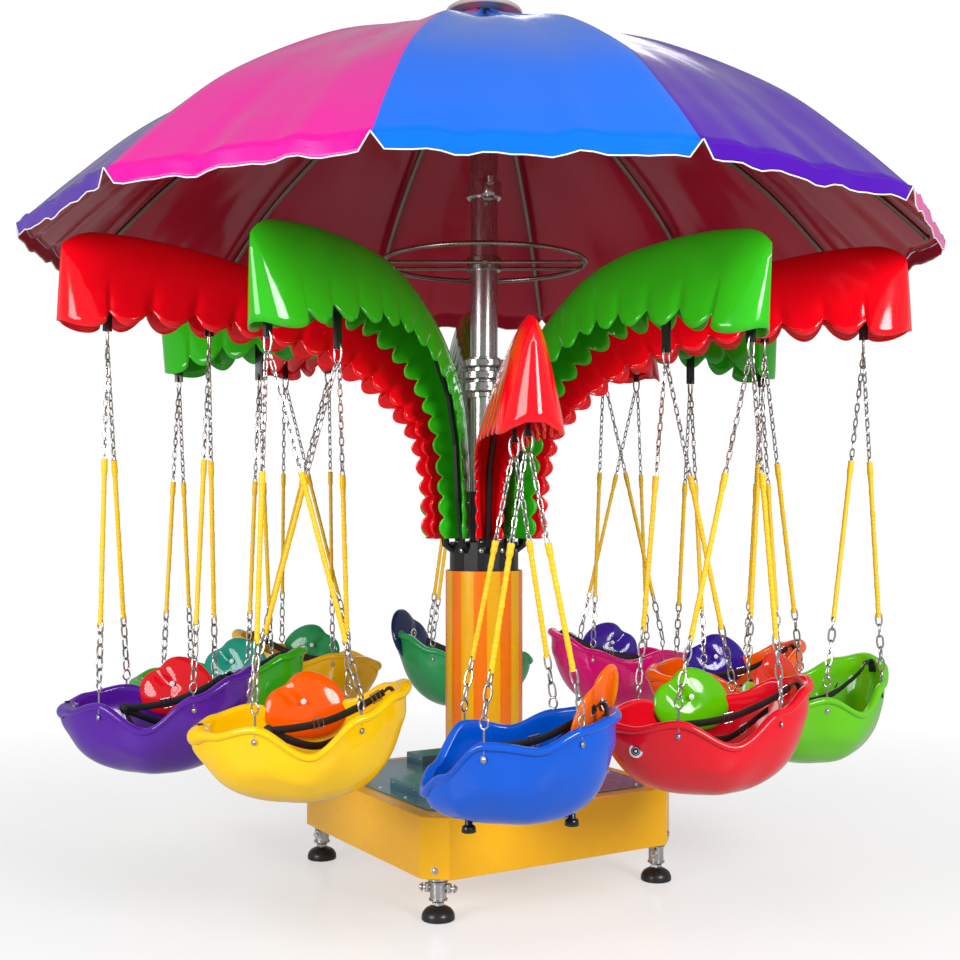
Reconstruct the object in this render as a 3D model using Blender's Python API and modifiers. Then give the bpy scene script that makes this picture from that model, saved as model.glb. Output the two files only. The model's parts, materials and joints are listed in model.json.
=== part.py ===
"""Chair swing ride for small children: ten hanging seats under a twelve-panel umbrella canopy.

Metres, +Z up. The origin is on the floor under the column. The base's sides lie along X and Y.
Angles called bearing are counted from the viewing direction of the ride's front, positive
anticlockwise seen from above.
"""
import math

import bmesh
import bpy
import numpy as np
from mathutils import Matrix, Vector
from mathutils.bvhtree import BVHTree

COLLECTION = "chair_swing_ride"
GAP = 0.0003
FRONT_BEARING = -31.5

# Base and feet
BASE_SIDE = 1.04
BASE_CHAMFER = 0.07
BASE_LOW = 0.14
BASE_TOP = 0.345
PLATE_BORDER = 0.06
PLATE_THICK = 0.005
PLATE_TOP = BASE_TOP + GAP + PLATE_THICK
COVER_BOX = (0.20, 0.13, 0.035)
COVER_BOX_PLACES = ((0.33, -0.10), (-0.33, -0.10), (0.0, 0.36))
FOOT_PLACE = 0.455
PAD_RADIUS = 0.055
STUD_RADIUS = 0.013
COLLAR_RADIUS = 0.032

# Column, from the base up
COVER_RADIUS = 0.144
COVER_WALL = 0.004
COVER_TOP = 1.12
POST_RADIUS = 0.11
HUB_LOW = 1.06
HUB_TOP = 1.226
HUB_RADIUS = 0.129
HEAD_RADIUS = 0.05
FLANGE_LOW = 1.764
FLANGE_TOP = 1.914
POLE_RADIUS = 0.051
POLE_TOP = 3.199
CRANK_HEIGHT = 2.54
HOOP_RADIUS = 0.38
HOOP_HEIGHT = 2.27
HOOP_TUBE = 0.010
HOOP_BAR_OFFSET = 0.067

# Canopy
PANELS = 12
CORNER_BEARING = -10.0
CANOPY_PROFILE = ((0.06, 3.199), (0.40, 3.065), (0.78, 2.925), (1.2, 2.69), (1.47, 2.468), (1.65, 2.295))
VALANCE_DROP = 0.055
CANOPY_THICK = 0.005
RIB_RADIUS = 0.011
RIB_DROP = 0.027
CROWN_LOW = 3.05
CROWN_HIGH = 3.10
CROWN_RADIUS = 0.078
CAP_RADIUS = 0.145
CAP_HEIGHT = 0.036

# Arms: ten palm fronds, red and green in turn
ARMS = 10
FIRST_BEARING = 5.0
ARM_TUBE = 0.013
LEAF_WALL = 0.006
LEAF_STATIONS = 10
LEAF_SECTION = (-1.0, -0.66, -0.33, 0.0, 0.33, 0.66, 1.0)
LEAF_HALF_WIDTH = ((0.0, 0.048), (0.16, 0.054), (0.30, 0.068), (0.5, 0.085), (0.85, 0.092), (0.97, 0.078),
                   (1.0, 0.018))
LEAF_DEPTH = ((0.0, 0.11), (0.2, 0.13), (0.4, 0.18), (0.6, 0.235), (0.8, 0.29), (1.0, 0.335))
RED_LEAF = {
    "colour": (0.74, 0.002, 0.008),
    "spine": ((0.12, 1.24), (0.122, 1.45), (0.17, 1.68), (0.31, 1.88), (0.52, 2.04), (0.77, 2.15),
              (1.02, 2.22), (1.27, 2.26), (1.51, 2.27)),
    "hang_radius": (1.37, 1.03),
    "hang_height": 1.96,
}
GREEN_LEAF = {
    "colour": (0.02, 0.38, 0.018),
    "spine": ((0.12, 1.24), (0.122, 1.50), (0.17, 1.755), (0.30, 1.96), (0.49, 2.11), (0.66, 2.18),
              (0.86, 2.21), (1.08, 2.215), (1.32, 2.19)),
    "hang_radius": (1.24, 0.90),
    "hang_height": 1.87,
}
FRONT_LEAF = {
    "colour": RED_LEAF["colour"],
    "spine": ((0.12, 1.24), (0.122, 1.35), (0.155, 1.49), (0.27, 1.61), (0.46, 1.70), (0.72, 1.765),
              (1.0, 1.815), (1.26, 1.85), (1.50, 1.87)),
    "hang_radius": (1.37, 1.03),
    "hang_height": 1.56,
}
TUBE_DROP = ((0.0, 0.062), (0.3, 0.068), (1.0, 0.074))
TUBE_START = 0.08
SADDLE_GAP = 0.0004
SADDLE_TIP = 0.0006
TUBE_END = 0.956

# Hangers: two strands from each hang point to the seat's hooks
LUG_HALF = 0.006
LUG_WIDTH = 0.030
LUG_BELOW = 0.018
STRAND_RADIUS = 0.009
PIN_RADIUS = 0.013
PIN_LENGTH = 0.013
RUNNING_GAP = 0.0005
CROSSBAR_DROP = 0.042
HOOK_HEIGHT = 0.775

# Seats: (bearing of the nose, shell colour, insert colour, half length, half width)
SEATS = (
    (-80.0, (0.005, 0.11, 0.80), (1.0, 0.16, 0.005), 0.275, 0.205),
    (-76.0, (0.83, 0.006, 0.018), (0.14, 0.62, 0.005), 0.335, 0.205),
    (-50.0, (0.14, 0.62, 0.005), (0.80, 0.03, 0.01), 0.315, 0.205),
    (-80.0, (1.0, 0.15, 0.005), (0.03, 0.03, 0.45), 0.315, 0.205),
    (95.0, (0.72, 0.006, 0.23), (0.06, 0.03, 0.45), 0.315, 0.205),
    (95.0, (0.03, 0.45, 0.14), (0.008, 0.02, 0.10), 0.300, 0.205),
    (84.0, (0.66, 0.34, 0.002), (0.03, 0.45, 0.14), 0.315, 0.205),
    (-95.0, (0.03, 0.46, 0.008), (0.02, 0.40, 0.30), 0.335, 0.205),
    (-90.0, (0.11, 0.02, 0.33), (0.80, 0.01, 0.015), 0.315, 0.205),
    (-78.0, (1.0, 0.60, 0.0), (1.0, 0.10, 0.003), 0.315, 0.205),
)
SEAT_BOTTOM = 0.455
SEAT_WALL = 0.010
SEAT_AROUND = 16
SEAT_RINGS = 4
RIM_HEIGHT = (0.66, 0.67, 0.70, 0.64, 0.725, 0.78, 0.80, 0.78, 0.725, 0.68, 0.72, 0.70)
HOOK_ANGLE = 60.0
INSERT_RADII = (0.115, 0.022, 0.125)
INSERT_INSET = 0.026
TAIL_INSERTS = (0, 5)


def clear_scene():
    for obj in list(bpy.data.objects):
        bpy.data.objects.remove(obj, do_unlink=True)


def collection(name):
    group = bpy.data.collections.new(name)
    bpy.context.scene.collection.children.link(group)
    return group


def finish(name, colour, roughness=0.35, metallic=0.0):
    surface = bpy.data.materials.new(name)
    surface.use_nodes = True
    shader = surface.node_tree.nodes["Principled BSDF"]
    shader.inputs["Base Color"].default_value = (*colour, 1.0)
    shader.inputs["Roughness"].default_value = roughness
    shader.inputs["Metallic"].default_value = metallic
    return surface


def mesh_of(bm, name):
    mesh = bpy.data.meshes.new(name)
    bm.to_mesh(mesh)
    bm.free()
    return mesh


def add_part(name, mesh, surface, parent=None):
    part = bpy.data.objects.new(name, mesh)
    mesh.materials.append(surface)
    parts_group.objects.link(part)
    part.parent = parent
    return part


def fuse(part, mesh):
    """Unite part with the closed bodies of mesh, which may overlap one another."""
    tool = bpy.data.objects.new(part.name + "_joined", mesh)
    tools_group.objects.link(tool)
    tool.parent = part.parent
    tool.hide_render = True
    tool.display_type = "WIRE"
    union = part.modifiers.new("Fuse", "BOOLEAN")
    union.operation = "UNION"
    union.solver = "EXACT"
    union.use_self = True
    union.object = tool
    return part


def lathe(name, profile, surface, steps, closed=False, ring=()):
    """Turn a profile of (radius, height) about Z; it runs down its outer side. A ring is a second, closed one."""
    mesh = bpy.data.meshes.new(name)
    count = len(profile)
    edges = [(i, i + 1) for i in range(count - 1)]
    if closed:
        edges.append((count - 1, 0))
    edges += [(count + i, count + (i + 1) % len(ring)) for i in range(len(ring))]
    mesh.from_pydata([(r, 0.0, z) for r, z in (*profile, *ring)], edges, [])
    part = add_part(name, mesh, surface)
    turn = part.modifiers.new("Turn", "SCREW")
    turn.steps = turn.render_steps = steps
    turn.use_merge_vertices = True
    turn.merge_threshold = 0.0001
    turn.use_smooth_shade = True
    return part


def rod(bm, start, end, radius, sides=6):
    start, end = Vector(start), Vector(end)
    axis = end - start
    place = Matrix.Translation((start + end) / 2) @ axis.to_track_quat("Z", "Y").to_matrix().to_4x4()
    bmesh.ops.create_cone(bm, cap_ends=True, segments=sides, radius1=radius, radius2=radius,
                          depth=axis.length, matrix=place)


def block(bm, centre, size):
    place = Matrix.Translation(centre) @ Matrix.Diagonal((*size, 1.0))
    bmesh.ops.create_cube(bm, size=1.0, matrix=place)


def tube(bm, points, radius, resolution=1):
    """Add a round bar along a poly line, as a bevelled curve with its caps welded."""
    curve = bpy.data.curves.new("bar", "CURVE")
    curve.dimensions = "3D"
    curve.bevel_depth = radius
    curve.bevel_resolution = resolution
    curve.use_fill_caps = True
    spline = curve.splines.new("POLY")
    spline.points.add(len(points) - 1)
    for point, place in zip(spline.points, points):
        point.co = (*place, 1.0)
    bar = bpy.data.objects.new("bar", curve)
    tools_group.objects.link(bar)
    solid = bpy.data.meshes.new_from_object(bar.evaluated_get(bpy.context.evaluated_depsgraph_get()))
    bpy.data.objects.remove(bar, do_unlink=True)
    piece = bmesh.new()
    piece.from_mesh(solid)
    bmesh.ops.remove_doubles(piece, verts=piece.verts, dist=0.0001)
    bmesh.ops.recalc_face_normals(piece, faces=piece.faces)
    piece.to_mesh(solid)
    piece.free()
    bm.from_mesh(solid)


def track(points, count):
    """A Catmull-Rom curve through points, read at count places evenly spaced along it."""
    p = np.array(points, dtype=float)
    p = np.vstack([2 * p[0] - p[1], p, 2 * p[-1] - p[-2]])
    fine = []
    for i in range(1, len(p) - 2):
        for t in np.linspace(0.0, 1.0, 24, endpoint=False):
            fine.append(0.5 * (2 * p[i] + (p[i + 1] - p[i - 1]) * t
                               + (2 * p[i - 1] - 5 * p[i] + 4 * p[i + 1] - p[i + 2]) * t * t
                               + (3 * p[i] - p[i - 1] - 3 * p[i + 1] + p[i + 2]) * t ** 3))
    fine.append(p[-2])
    fine = np.array(fine)
    steps = np.linalg.norm(np.diff(fine, axis=0), axis=1)
    along = np.concatenate([[0.0], np.cumsum(steps)]) / steps.sum()
    where = np.linspace(0.0, 1.0, count)
    return where, np.column_stack([np.interp(where, along, fine[:, k]) for k in (0, 1)])


def graph(pairs, value):
    return float(np.interp(value, [a for a, _ in pairs], [b for _, b in pairs]))


def spine_frames(spine, count):
    """Fractions, points and upward normals along a frond's spine, in the arm's upright plane."""
    where, points = track(spine, count)
    slope = np.gradient(points, axis=0)
    slope /= np.linalg.norm(slope, axis=1)[:, None]
    return where, points, np.column_stack([-slope[:, 1], slope[:, 0]])


def turned(bearing):
    """Turn an arm's own frame (X outward, Y sideways) to its bearing on the ride."""
    return Matrix.Rotation(math.radians(bearing + FRONT_BEARING - 90.0), 4, "Z")


def make_base():
    yellow = finish("base_yellow", (0.92, 0.45, 0.0), 0.3)
    half = BASE_SIDE / 2
    bm = bmesh.new()
    block(bm, (0, 0, (BASE_LOW + BASE_TOP) / 2), (BASE_SIDE, BASE_SIDE, BASE_TOP - BASE_LOW))
    upright = [e for e in bm.edges if abs(e.verts[0].co.z - e.verts[1].co.z) > 0.1]
    bmesh.ops.bevel(bm, geom=upright, offset=BASE_CHAMFER, segments=1, affect="EDGES")
    add_part("base_box", mesh_of(bm, "base_box"), yellow)

    slate = finish("plate_slate", (0.10, 0.23, 0.29), 0.3, 0.3)
    side = 2 * (half - PLATE_BORDER)
    bm = bmesh.new()
    block(bm, (0, 0, PLATE_TOP - PLATE_THICK / 2), (side, side, PLATE_THICK))
    upright = [e for e in bm.edges if abs(e.verts[0].co.z - e.verts[1].co.z) > PLATE_THICK / 2]
    bmesh.ops.bevel(bm, geom=upright, offset=BASE_CHAMFER, segments=1, affect="EDGES")
    plate = add_part("base_plate", mesh_of(bm, "base_plate"), slate)
    bm = bmesh.new()
    long, wide, tall = COVER_BOX
    for x, y in COVER_BOX_PLACES:
        size = (wide, long, tall) if abs(x) > abs(y) else (long, wide, tall)
        block(bm, (x, y, PLATE_TOP + tall / 2 - 0.001), size)
    fuse(plate, mesh_of(bm, "plate_boxes"))

    steel = finish("foot_steel", (0.35, 0.35, 0.36), 0.3, 1.0)
    profile = ((0.0, BASE_LOW - GAP), (COLLAR_RADIUS, BASE_LOW - GAP), (COLLAR_RADIUS, 0.118), (0.020, 0.114),
               (0.020, 0.092), (COLLAR_RADIUS, 0.088), (COLLAR_RADIUS, 0.066), (STUD_RADIUS, 0.062),
               (STUD_RADIUS, 0.050), (0.028, 0.044), (PAD_RADIUS, 0.016), (PAD_RADIUS, 0.0), (0.0, 0.0))
    for index, (sx, sy) in enumerate(((1, -1), (-1, -1), (-1, 1), (1, 1)), start=1):
        foot = lathe(f"foot_{index}", profile, steel, 12)
        foot.location = (sx * FOOT_PLACE, sy * FOOT_PLACE, 0.0)


def make_column():
    stripes = finish("cover_stripes", (0.93, 0.38, 0.0), 0.35)
    low = PLATE_TOP + GAP
    inner = COVER_RADIUS - COVER_WALL
    lathe("column_cover", ((COVER_RADIUS, COVER_TOP), (COVER_RADIUS, low), (inner, low), (inner, COVER_TOP)),
          stripes, 36, closed=True)
    dark = finish("black_steel", (0.012, 0.012, 0.014), 0.35, 0.2)
    lathe("column_post", ((0.0, HUB_LOW - GAP), (POST_RADIUS, HUB_LOW - GAP), (POST_RADIUS, low), (0.0, low)),
          dark, 20)

    silver = finish("silver_steel", (0.5, 0.5, 0.51), 0.28, 1.0)
    low, top = HUB_TOP + GAP, FLANGE_LOW - GAP
    lathe("head_column", ((0.0, top), (HEAD_RADIUS, top), (HEAD_RADIUS, 1.415), (0.055, 1.413), (0.055, low),
                          (0.0, low)), silver, 24)
    rings = ((0.0, FLANGE_TOP), (0.060, FLANGE_TOP), (0.060, 1.905), (0.088, 1.903), (0.088, 1.878),
             (0.058, 1.876), (0.058, 1.860), (0.090, 1.858), (0.090, 1.832), (0.064, 1.830), (0.064, 1.820),
             (0.088, 1.818), (0.088, 1.786), (0.058, 1.784), (0.058, FLANGE_LOW), (0.0, FLANGE_LOW))
    lathe("flange_stack", rings, silver, 18)
    low = FLANGE_TOP + GAP
    lathe("canopy_pole", ((0.0, POLE_TOP), (POLE_RADIUS, POLE_TOP), (POLE_RADIUS, low), (0.0, low)), silver, 24)

    bore = POLE_RADIUS + GAP
    collar = lathe("crank_collar", ((0.066, CRANK_HEIGHT + 0.03), (0.066, CRANK_HEIGHT - 0.03),
                                    (bore, CRANK_HEIGHT - 0.03), (bore, CRANK_HEIGHT + 0.03)),
                   silver, 24, closed=True)
    bm = bmesh.new()
    out = turned(12.0) @ Vector((0.085, 0.0, 0.0))
    rod(bm, (out.x, out.y, CRANK_HEIGHT - 0.05), (out.x, out.y, CRANK_HEIGHT + 0.045), 0.024, 12)
    rod(bm, (out.x * 0.72, out.y * 0.72, CRANK_HEIGHT), (out.x, out.y, CRANK_HEIGHT), 0.016, 8)
    fuse(collar, mesh_of(bm, "crank_tube"))

    around = [math.radians(-60 * i) for i in range(6)]
    hoop = [(HOOP_RADIUS + HOOP_TUBE * math.cos(a), HOOP_HEIGHT + HOOP_TUBE * math.sin(a)) for a in around]
    ring = lathe("hoop_ring", ((0.064, HOOP_HEIGHT + 0.02), (0.064, HOOP_HEIGHT - 0.03),
                               (bore, HOOP_HEIGHT - 0.03), (bore, HOOP_HEIGHT + 0.02)),
                 silver, 24, closed=True, ring=hoop)
    bm = bmesh.new()
    frame = turned(0.0)
    for offset in (HOOP_BAR_OFFSET, -HOOP_BAR_OFFSET):
        reach = math.sqrt(HOOP_RADIUS ** 2 - offset ** 2)
        rod(bm, frame @ Vector((offset, -reach, HOOP_HEIGHT - 0.008)),
            frame @ Vector((offset, reach, HOOP_HEIGHT - 0.008)), 0.007, 6)
    fuse(ring, mesh_of(bm, "hoop_bars"))


def make_canopy():
    cloth = finish("canopy_cloth", (0.20, 0.02, 0.35), 0.35)
    rings = [(r, z) for r, z in CANOPY_PROFILE]
    edge = rings[-1]
    rings.append((edge[0] + 0.004, edge[1] - VALANCE_DROP))
    bm = bmesh.new()
    rows = []
    for r, z in rings:
        rows.append([bm.verts.new(turned(CORNER_BEARING + i * 360 / PANELS) @ Vector((r, 0, z)))
                     for i in range(PANELS)])
    for upper, lower in zip(rows, rows[1:]):
        for i in range(PANELS):
            j = (i + 1) % PANELS
            bm.faces.new((upper[i], lower[i], lower[j], upper[j]))
    cover = add_part("canopy_cover", mesh_of(bm, "canopy_cover"), cloth)
    wall = cover.modifiers.new("Wall", "SOLIDIFY")
    wall.thickness = CANOPY_THICK
    wall.offset = -1.0

    grey = finish("rib_steel", (0.13, 0.115, 0.10), 0.4, 0.7)
    bore = POLE_RADIUS + GAP
    crown = lathe("canopy_ribs", ((CROWN_RADIUS, CROWN_HIGH), (CROWN_RADIUS, CROWN_LOW), (bore, CROWN_LOW),
                                  (bore, CROWN_HIGH)), grey, 24, closed=True)
    bm = bmesh.new()
    for i in range(PANELS):
        frame = turned(CORNER_BEARING + i * 360 / PANELS)
        path = [(CROWN_RADIUS - 0.012, 0.5 * (CROWN_LOW + CROWN_HIGH))]
        line = CANOPY_PROFILE[1:]
        for k, (r, z) in enumerate(line):
            before = line[max(k - 1, 0)]
            after = line[min(k + 1, len(line) - 1)]
            slope = Vector((after[0] - before[0], after[1] - before[1])).normalized()
            drop = RIB_DROP + (0.006 if k else 0.0)
            path.append((r + slope.y * drop, z - slope.x * drop))
        path[-1] = (path[-1][0] - 0.012, path[-1][1] + 0.012)
        tube(bm, [frame @ Vector((r, 0, z)) for r, z in path], RIB_RADIUS)
    fuse(crown, mesh_of(bm, "rib_bars"))

    cap = finish("cap_grey", (0.40, 0.38, 0.34), 0.4, 0.3)
    low = POLE_TOP + GAP
    lathe("top_cap", ((0.0, low + CAP_HEIGHT), (0.06, low + CAP_HEIGHT), (0.125, low + 0.024),
                      (CAP_RADIUS, low + 0.012), (CAP_RADIUS, low), (0.0, low)), cap, 24)


def leaf_kind(index):
    """The front frond hangs low, and the others are red and green in turn."""
    if index == 0:
        return FRONT_LEAF
    return RED_LEAF if index % 2 == 0 else GREEN_LEAF


def leaf_mesh(kind, name):
    """A hollow palm frond: ridge on top, both lower edges open, a narrow closed front."""
    where, points, normals = spine_frames(kind["spine"], LEAF_STATIONS)
    bm = bmesh.new()
    rows = []
    for f, point, normal in zip(where, points, normals):
        wide, deep = graph(LEAF_HALF_WIDTH, f), graph(LEAF_DEPTH, f)
        row = []
        for t in LEAF_SECTION:
            drop = deep * abs(t) ** 1.6
            side = wide * math.copysign(abs(t) ** 0.8, t)
            row.append(bm.verts.new((point[0] - normal[0] * drop, side, point[1] - normal[1] * drop)))
        rows.append(row)
    for near, far in zip(rows, rows[1:]):
        for k in range(len(LEAF_SECTION) - 1):
            bm.faces.new((near[k], far[k], far[k + 1], near[k + 1]))
    tip = rows[-1]
    last = len(tip) - 1
    middle = last // 2
    for k in range(middle):
        if k == middle - 1:
            bm.faces.new((tip[k], tip[last - k], tip[middle]))
        else:
            bm.faces.new((tip[k], tip[last - k], tip[last - k - 1], tip[k + 1]))
    return mesh_of(bm, name)


def make_leaf(name, kind, surface, parent):
    leaf = add_part(name, leaf_mesh(kind, name), surface, parent)
    wall = leaf.modifiers.new("Wall", "SOLIDIFY")
    wall.thickness = LEAF_WALL
    wall.offset = -1.0
    return leaf


def underside(leaf, radius, height):
    """Lowest height of the frond's inner face over a saddle's round tip on the arm's centre line."""
    tree = BVHTree.FromObject(leaf, bpy.context.evaluated_depsgraph_get())
    tip = SADDLE_TIP
    rays = [Vector((radius + x, y, height)) for x in (-tip, 0.0, tip) for y in (-tip, tip)]
    return min(tree.ray_cast(ray, Vector((0, 0, 1)))[0].z for ray in rays)


def arm_line(kind):
    """The centre line of the steel tube inside a frond, from the hub outward."""
    where, points, normals = spine_frames(kind["spine"], 100)
    line = [(0.085, 1.165), (0.150, 1.215)]
    for f in np.linspace(TUBE_START, TUBE_END, 9):
        drop = graph(TUBE_DROP, f)
        spot = [np.interp(f, where, points[:, k] - normals[:, k] * drop) for k in (0, 1)]
        line.append((float(spot[0]), float(spot[1])))
    return line


def make_arm_spider(leaves):
    dark = finish("spider_black", (0.012, 0.012, 0.014), 0.4, 0.2)
    hub = lathe("arm_spider", ((0.0, HUB_TOP), (HUB_RADIUS, HUB_TOP), (HUB_RADIUS, HUB_LOW), (0.0, HUB_LOW)),
                dark, 30)
    steel = bmesh.new()
    for kind in (FRONT_LEAF, RED_LEAF, GREEN_LEAF):
        line = arm_line(kind)
        radii = [r for r, _ in line]
        heights = [z for _, z in line]
        pin = kind["hang_height"]
        one = bmesh.new()
        tube(one, [(r, 0.0, z) for r, z in line], ARM_TUBE)
        for radius in kind["hang_radius"]:
            top = float(np.interp(radius, radii, heights))
            low = pin - LUG_BELOW
            block(one, (radius, 0, (top + low) / 2), (LUG_WIDTH, 2 * LUG_HALF, top - low))
        for radius in kind["hang_radius"]:
            seat_at = radius - 0.12
            base = float(np.interp(seat_at, radii, heights))
            ceiling = underside(leaves[kind["hang_height"]], seat_at, base + ARM_TUBE + 0.002)
            tall = ceiling - SADDLE_GAP - base
            bmesh.ops.create_cone(one, cap_ends=True, segments=6, radius1=0.006, radius2=SADDLE_TIP, depth=tall,
                                  matrix=Matrix.Translation((seat_at, 0, base + tall / 2)))
        arm = mesh_of(one, "one_arm")
        for index in [i for i in range(ARMS) if leaf_kind(i) is kind]:
            copy = arm.copy()
            copy.transform(turned(FIRST_BEARING + index * 360 / ARMS))
            steel.from_mesh(copy)
    fuse(hub, mesh_of(steel, "arm_bars"))


def rim_height(angle):
    """Height of a seat's rim at an angle from its nose, between the twelve listed heights."""
    step = (angle % 360.0) / 30.0
    i = int(step) % 12
    t = step - int(step)
    ease = t * t * (3 - 2 * t)
    return RIM_HEIGHT[i] * (1 - ease) + RIM_HEIGHT[(i + 1) % 12] * ease


def seat_point(seat, angle, down):
    """A point of a seat's outer face: angle from the nose, down from 0 at the rim to 90 at the keel."""
    _, _, _, half_long, half_wide = seat
    a = math.radians(angle)
    d = math.radians(down)
    shrink = math.cos(d) ** 0.62
    top = rim_height(angle)
    pinch = 1.0 - 0.16 * max(math.cos(a), 0.0) ** 2
    return Vector((half_long * math.cos(a) * shrink, half_wide * math.sin(a) * shrink * pinch,
                   top - (top - SEAT_BOTTOM) * math.sin(d)))


def seat_hooks(seat, yaw):
    """Hook places round the rim in the arm's frame, the pair under the outer hang point first."""
    turn = Matrix.Rotation(math.radians(yaw), 3, "Z")
    spots = []
    for angle in (HOOK_ANGLE, -HOOK_ANGLE, 180 - HOOK_ANGLE, 180 + HOOK_ANGLE):
        point = seat_point(seat, angle, 0.0) * 0.985
        spots.append(turn @ Vector((point.x, point.y, 0.0)))
    nose, tail = spots[:2], spots[2:]
    plus, minus = [spots[0], spots[2]], [spots[1], spots[3]]
    lengthwise = abs((nose[0] + nose[1] - tail[0] - tail[1]).x)
    crosswise = abs((plus[0] + plus[1] - minus[0] - minus[1]).x)
    pairs = (nose, tail) if lengthwise > crosswise else (plus, minus)
    outer, inner = sorted(pairs, key=lambda pair: -(pair[0].x + pair[1].x))
    return [sorted(pair, key=lambda p: p.y) for pair in (outer, inner)]


def seat_centre(kind):
    return sum(kind["hang_radius"]) / 2


def make_seat(index, kind, parent):
    seat = SEATS[index]
    bearing = FIRST_BEARING + index * 360 / ARMS
    yaw = seat[0] - bearing
    centre = Vector((seat_centre(kind), 0.0, 0.0))
    turn = Matrix.Translation(centre) @ Matrix.Rotation(math.radians(yaw), 4, "Z")
    shell_finish = finish(f"seat_{index + 1}_shell", seat[1], 0.22)

    bm = bmesh.new()
    rings = []
    for k in range(SEAT_RINGS):
        down = 78.0 * k / (SEAT_RINGS - 1)
        rings.append([bm.verts.new(turn @ seat_point(seat, 360.0 * i / SEAT_AROUND, down))
                      for i in range(SEAT_AROUND)])
    keel = bm.verts.new(turn @ Vector((0.0, 0.0, SEAT_BOTTOM)))
    for upper, lower in zip(rings, rings[1:]):
        for i in range(SEAT_AROUND):
            j = (i + 1) % SEAT_AROUND
            bm.faces.new((upper[i], lower[i], lower[j], upper[j]))
    for i in range(SEAT_AROUND):
        bm.faces.new((rings[-1][i], keel, rings[-1][(i + 1) % SEAT_AROUND]))
    shell = add_part(f"seat_{index + 1}", mesh_of(bm, f"seat_{index + 1}"), shell_finish, parent)
    wall = shell.modifiers.new("Wall", "SOLIDIFY")
    wall.thickness = SEAT_WALL
    wall.offset = -1.0

    bm = bmesh.new()
    for spot in sum(seat_hooks(seat, yaw), []):
        local = Matrix.Rotation(-math.radians(yaw), 3, "Z") @ spot
        top = rim_height(math.degrees(math.atan2(local.y / seat[4], local.x / seat[3])))
        low, high = top - 0.035, HOOK_HEIGHT + 0.012
        block(bm, centre + spot + Vector((0, 0, (low + high) / 2)), (0.026, 2 * 0.005, high - low))
    facing = math.cos(math.radians(seat[0] + 90.0))
    side = -1.0 if facing > 0 else 1.0
    if index in TAIL_INSERTS:
        place = (turn @ Matrix.Translation((INSERT_INSET - seat[3], 0.0, 0.75))
                 @ Matrix.Rotation(math.radians(90.0), 4, "Z"))
    else:
        place = turn @ Matrix.Translation((-0.02, side * (seat[4] - INSERT_INSET), 0.725))
    bmesh.ops.create_uvsphere(bm, u_segments=8, v_segments=5, radius=1.0,
                              matrix=place @ Matrix.Diagonal((*INSERT_RADII, 1.0)))
    return fuse(shell, mesh_of(bm, f"seat_{index + 1}_fittings"))


def make_hanger(name, hang_radius, hang_height, hooks, centre, surface, parent):
    """Two strands from one hang point, joined by a crossbar, each ending beside its hook plate."""
    top = Vector((hang_radius, 0.0, hang_height))
    start = LUG_HALF + RUNNING_GAP
    pieces = []
    for side, hook in zip((-1.0, 1.0), hooks):
        inward = -1.0 if hook.y > 0 else 1.0
        face = 0.005 + RUNNING_GAP
        foot = Vector((centre + hook.x, hook.y, HOOK_HEIGHT))
        foot_pin = (foot + Vector((0, inward * face, 0)), foot + Vector((0, inward * (face + PIN_LENGTH), 0)))
        head_pin = (top + Vector((0, side * start, 0)), top + Vector((0, side * (start + PIN_LENGTH), 0)))
        head_mid = top + Vector((0, side * (start + PIN_LENGTH / 2 + 0.004), 0))
        foot_mid = foot + Vector((0, inward * (face + PIN_LENGTH / 2 + 0.004), 0))
        pieces.append((head_pin, foot_pin, head_mid, foot_mid))
    bm = bmesh.new()
    reach = start + PIN_LENGTH
    low = top - Vector((0, 0, CROSSBAR_DROP))
    rod(bm, low - Vector((0, reach, 0)), low + Vector((0, reach, 0)), 0.009, 6)
    body = add_part(name, mesh_of(bm, name), surface, parent)
    bm = bmesh.new()
    for head_pin, foot_pin, head_mid, foot_mid in pieces:
        rod(bm, *head_pin, PIN_RADIUS, 6)
        rod(bm, *foot_pin, PIN_RADIUS, 6)
        rod(bm, head_mid, foot_mid, STRAND_RADIUS, 5)
    return fuse(body, mesh_of(bm, name + "_strands"))


def make_arms():
    red = finish("leaf_red", RED_LEAF["colour"], 0.2)
    green = finish("leaf_green", GREEN_LEAF["colour"], 0.2)
    rope = finish("rope_yellow", (1.0, 0.62, 0.0), 0.5)
    leaves = {}
    for index in range(ARMS):
        kind = leaf_kind(index)
        bearing = FIRST_BEARING + index * 360 / ARMS
        arm = bpy.data.objects.new(f"arm_{index + 1}", None)
        parts_group.objects.link(arm)
        arm.matrix_world = turned(bearing)
        leaf = make_leaf(f"leaf_{index + 1}", kind, green if kind is GREEN_LEAF else red, arm)
        leaves.setdefault(kind["hang_height"], leaf)
        seat = SEATS[index]
        outer, inner = seat_hooks(seat, seat[0] - bearing)
        centre = seat_centre(kind)
        height = kind["hang_height"]
        outer_radius, inner_radius = kind["hang_radius"]
        make_hanger(f"hanger_outer_{index + 1}", outer_radius, height, outer, centre, rope, arm)
        make_hanger(f"hanger_inner_{index + 1}", inner_radius, height, inner, centre, rope, arm)
        make_seat(index, kind, arm)
    bpy.context.view_layer.update()
    make_arm_spider(leaves)


clear_scene()
parts_group = collection(COLLECTION)
tools_group = collection("joined_shapes")
make_base()
make_column()
make_canopy()
make_arms()
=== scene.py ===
"""Looks of a chair swing ride for small children: finishes, chains, sleeves, canopy cloth and moulded seats.

Laid out as an add-on with one operator for each group of pieces, and run as a script. Metres, +Z up.
"""
import json
import math
from collections import namedtuple

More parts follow.
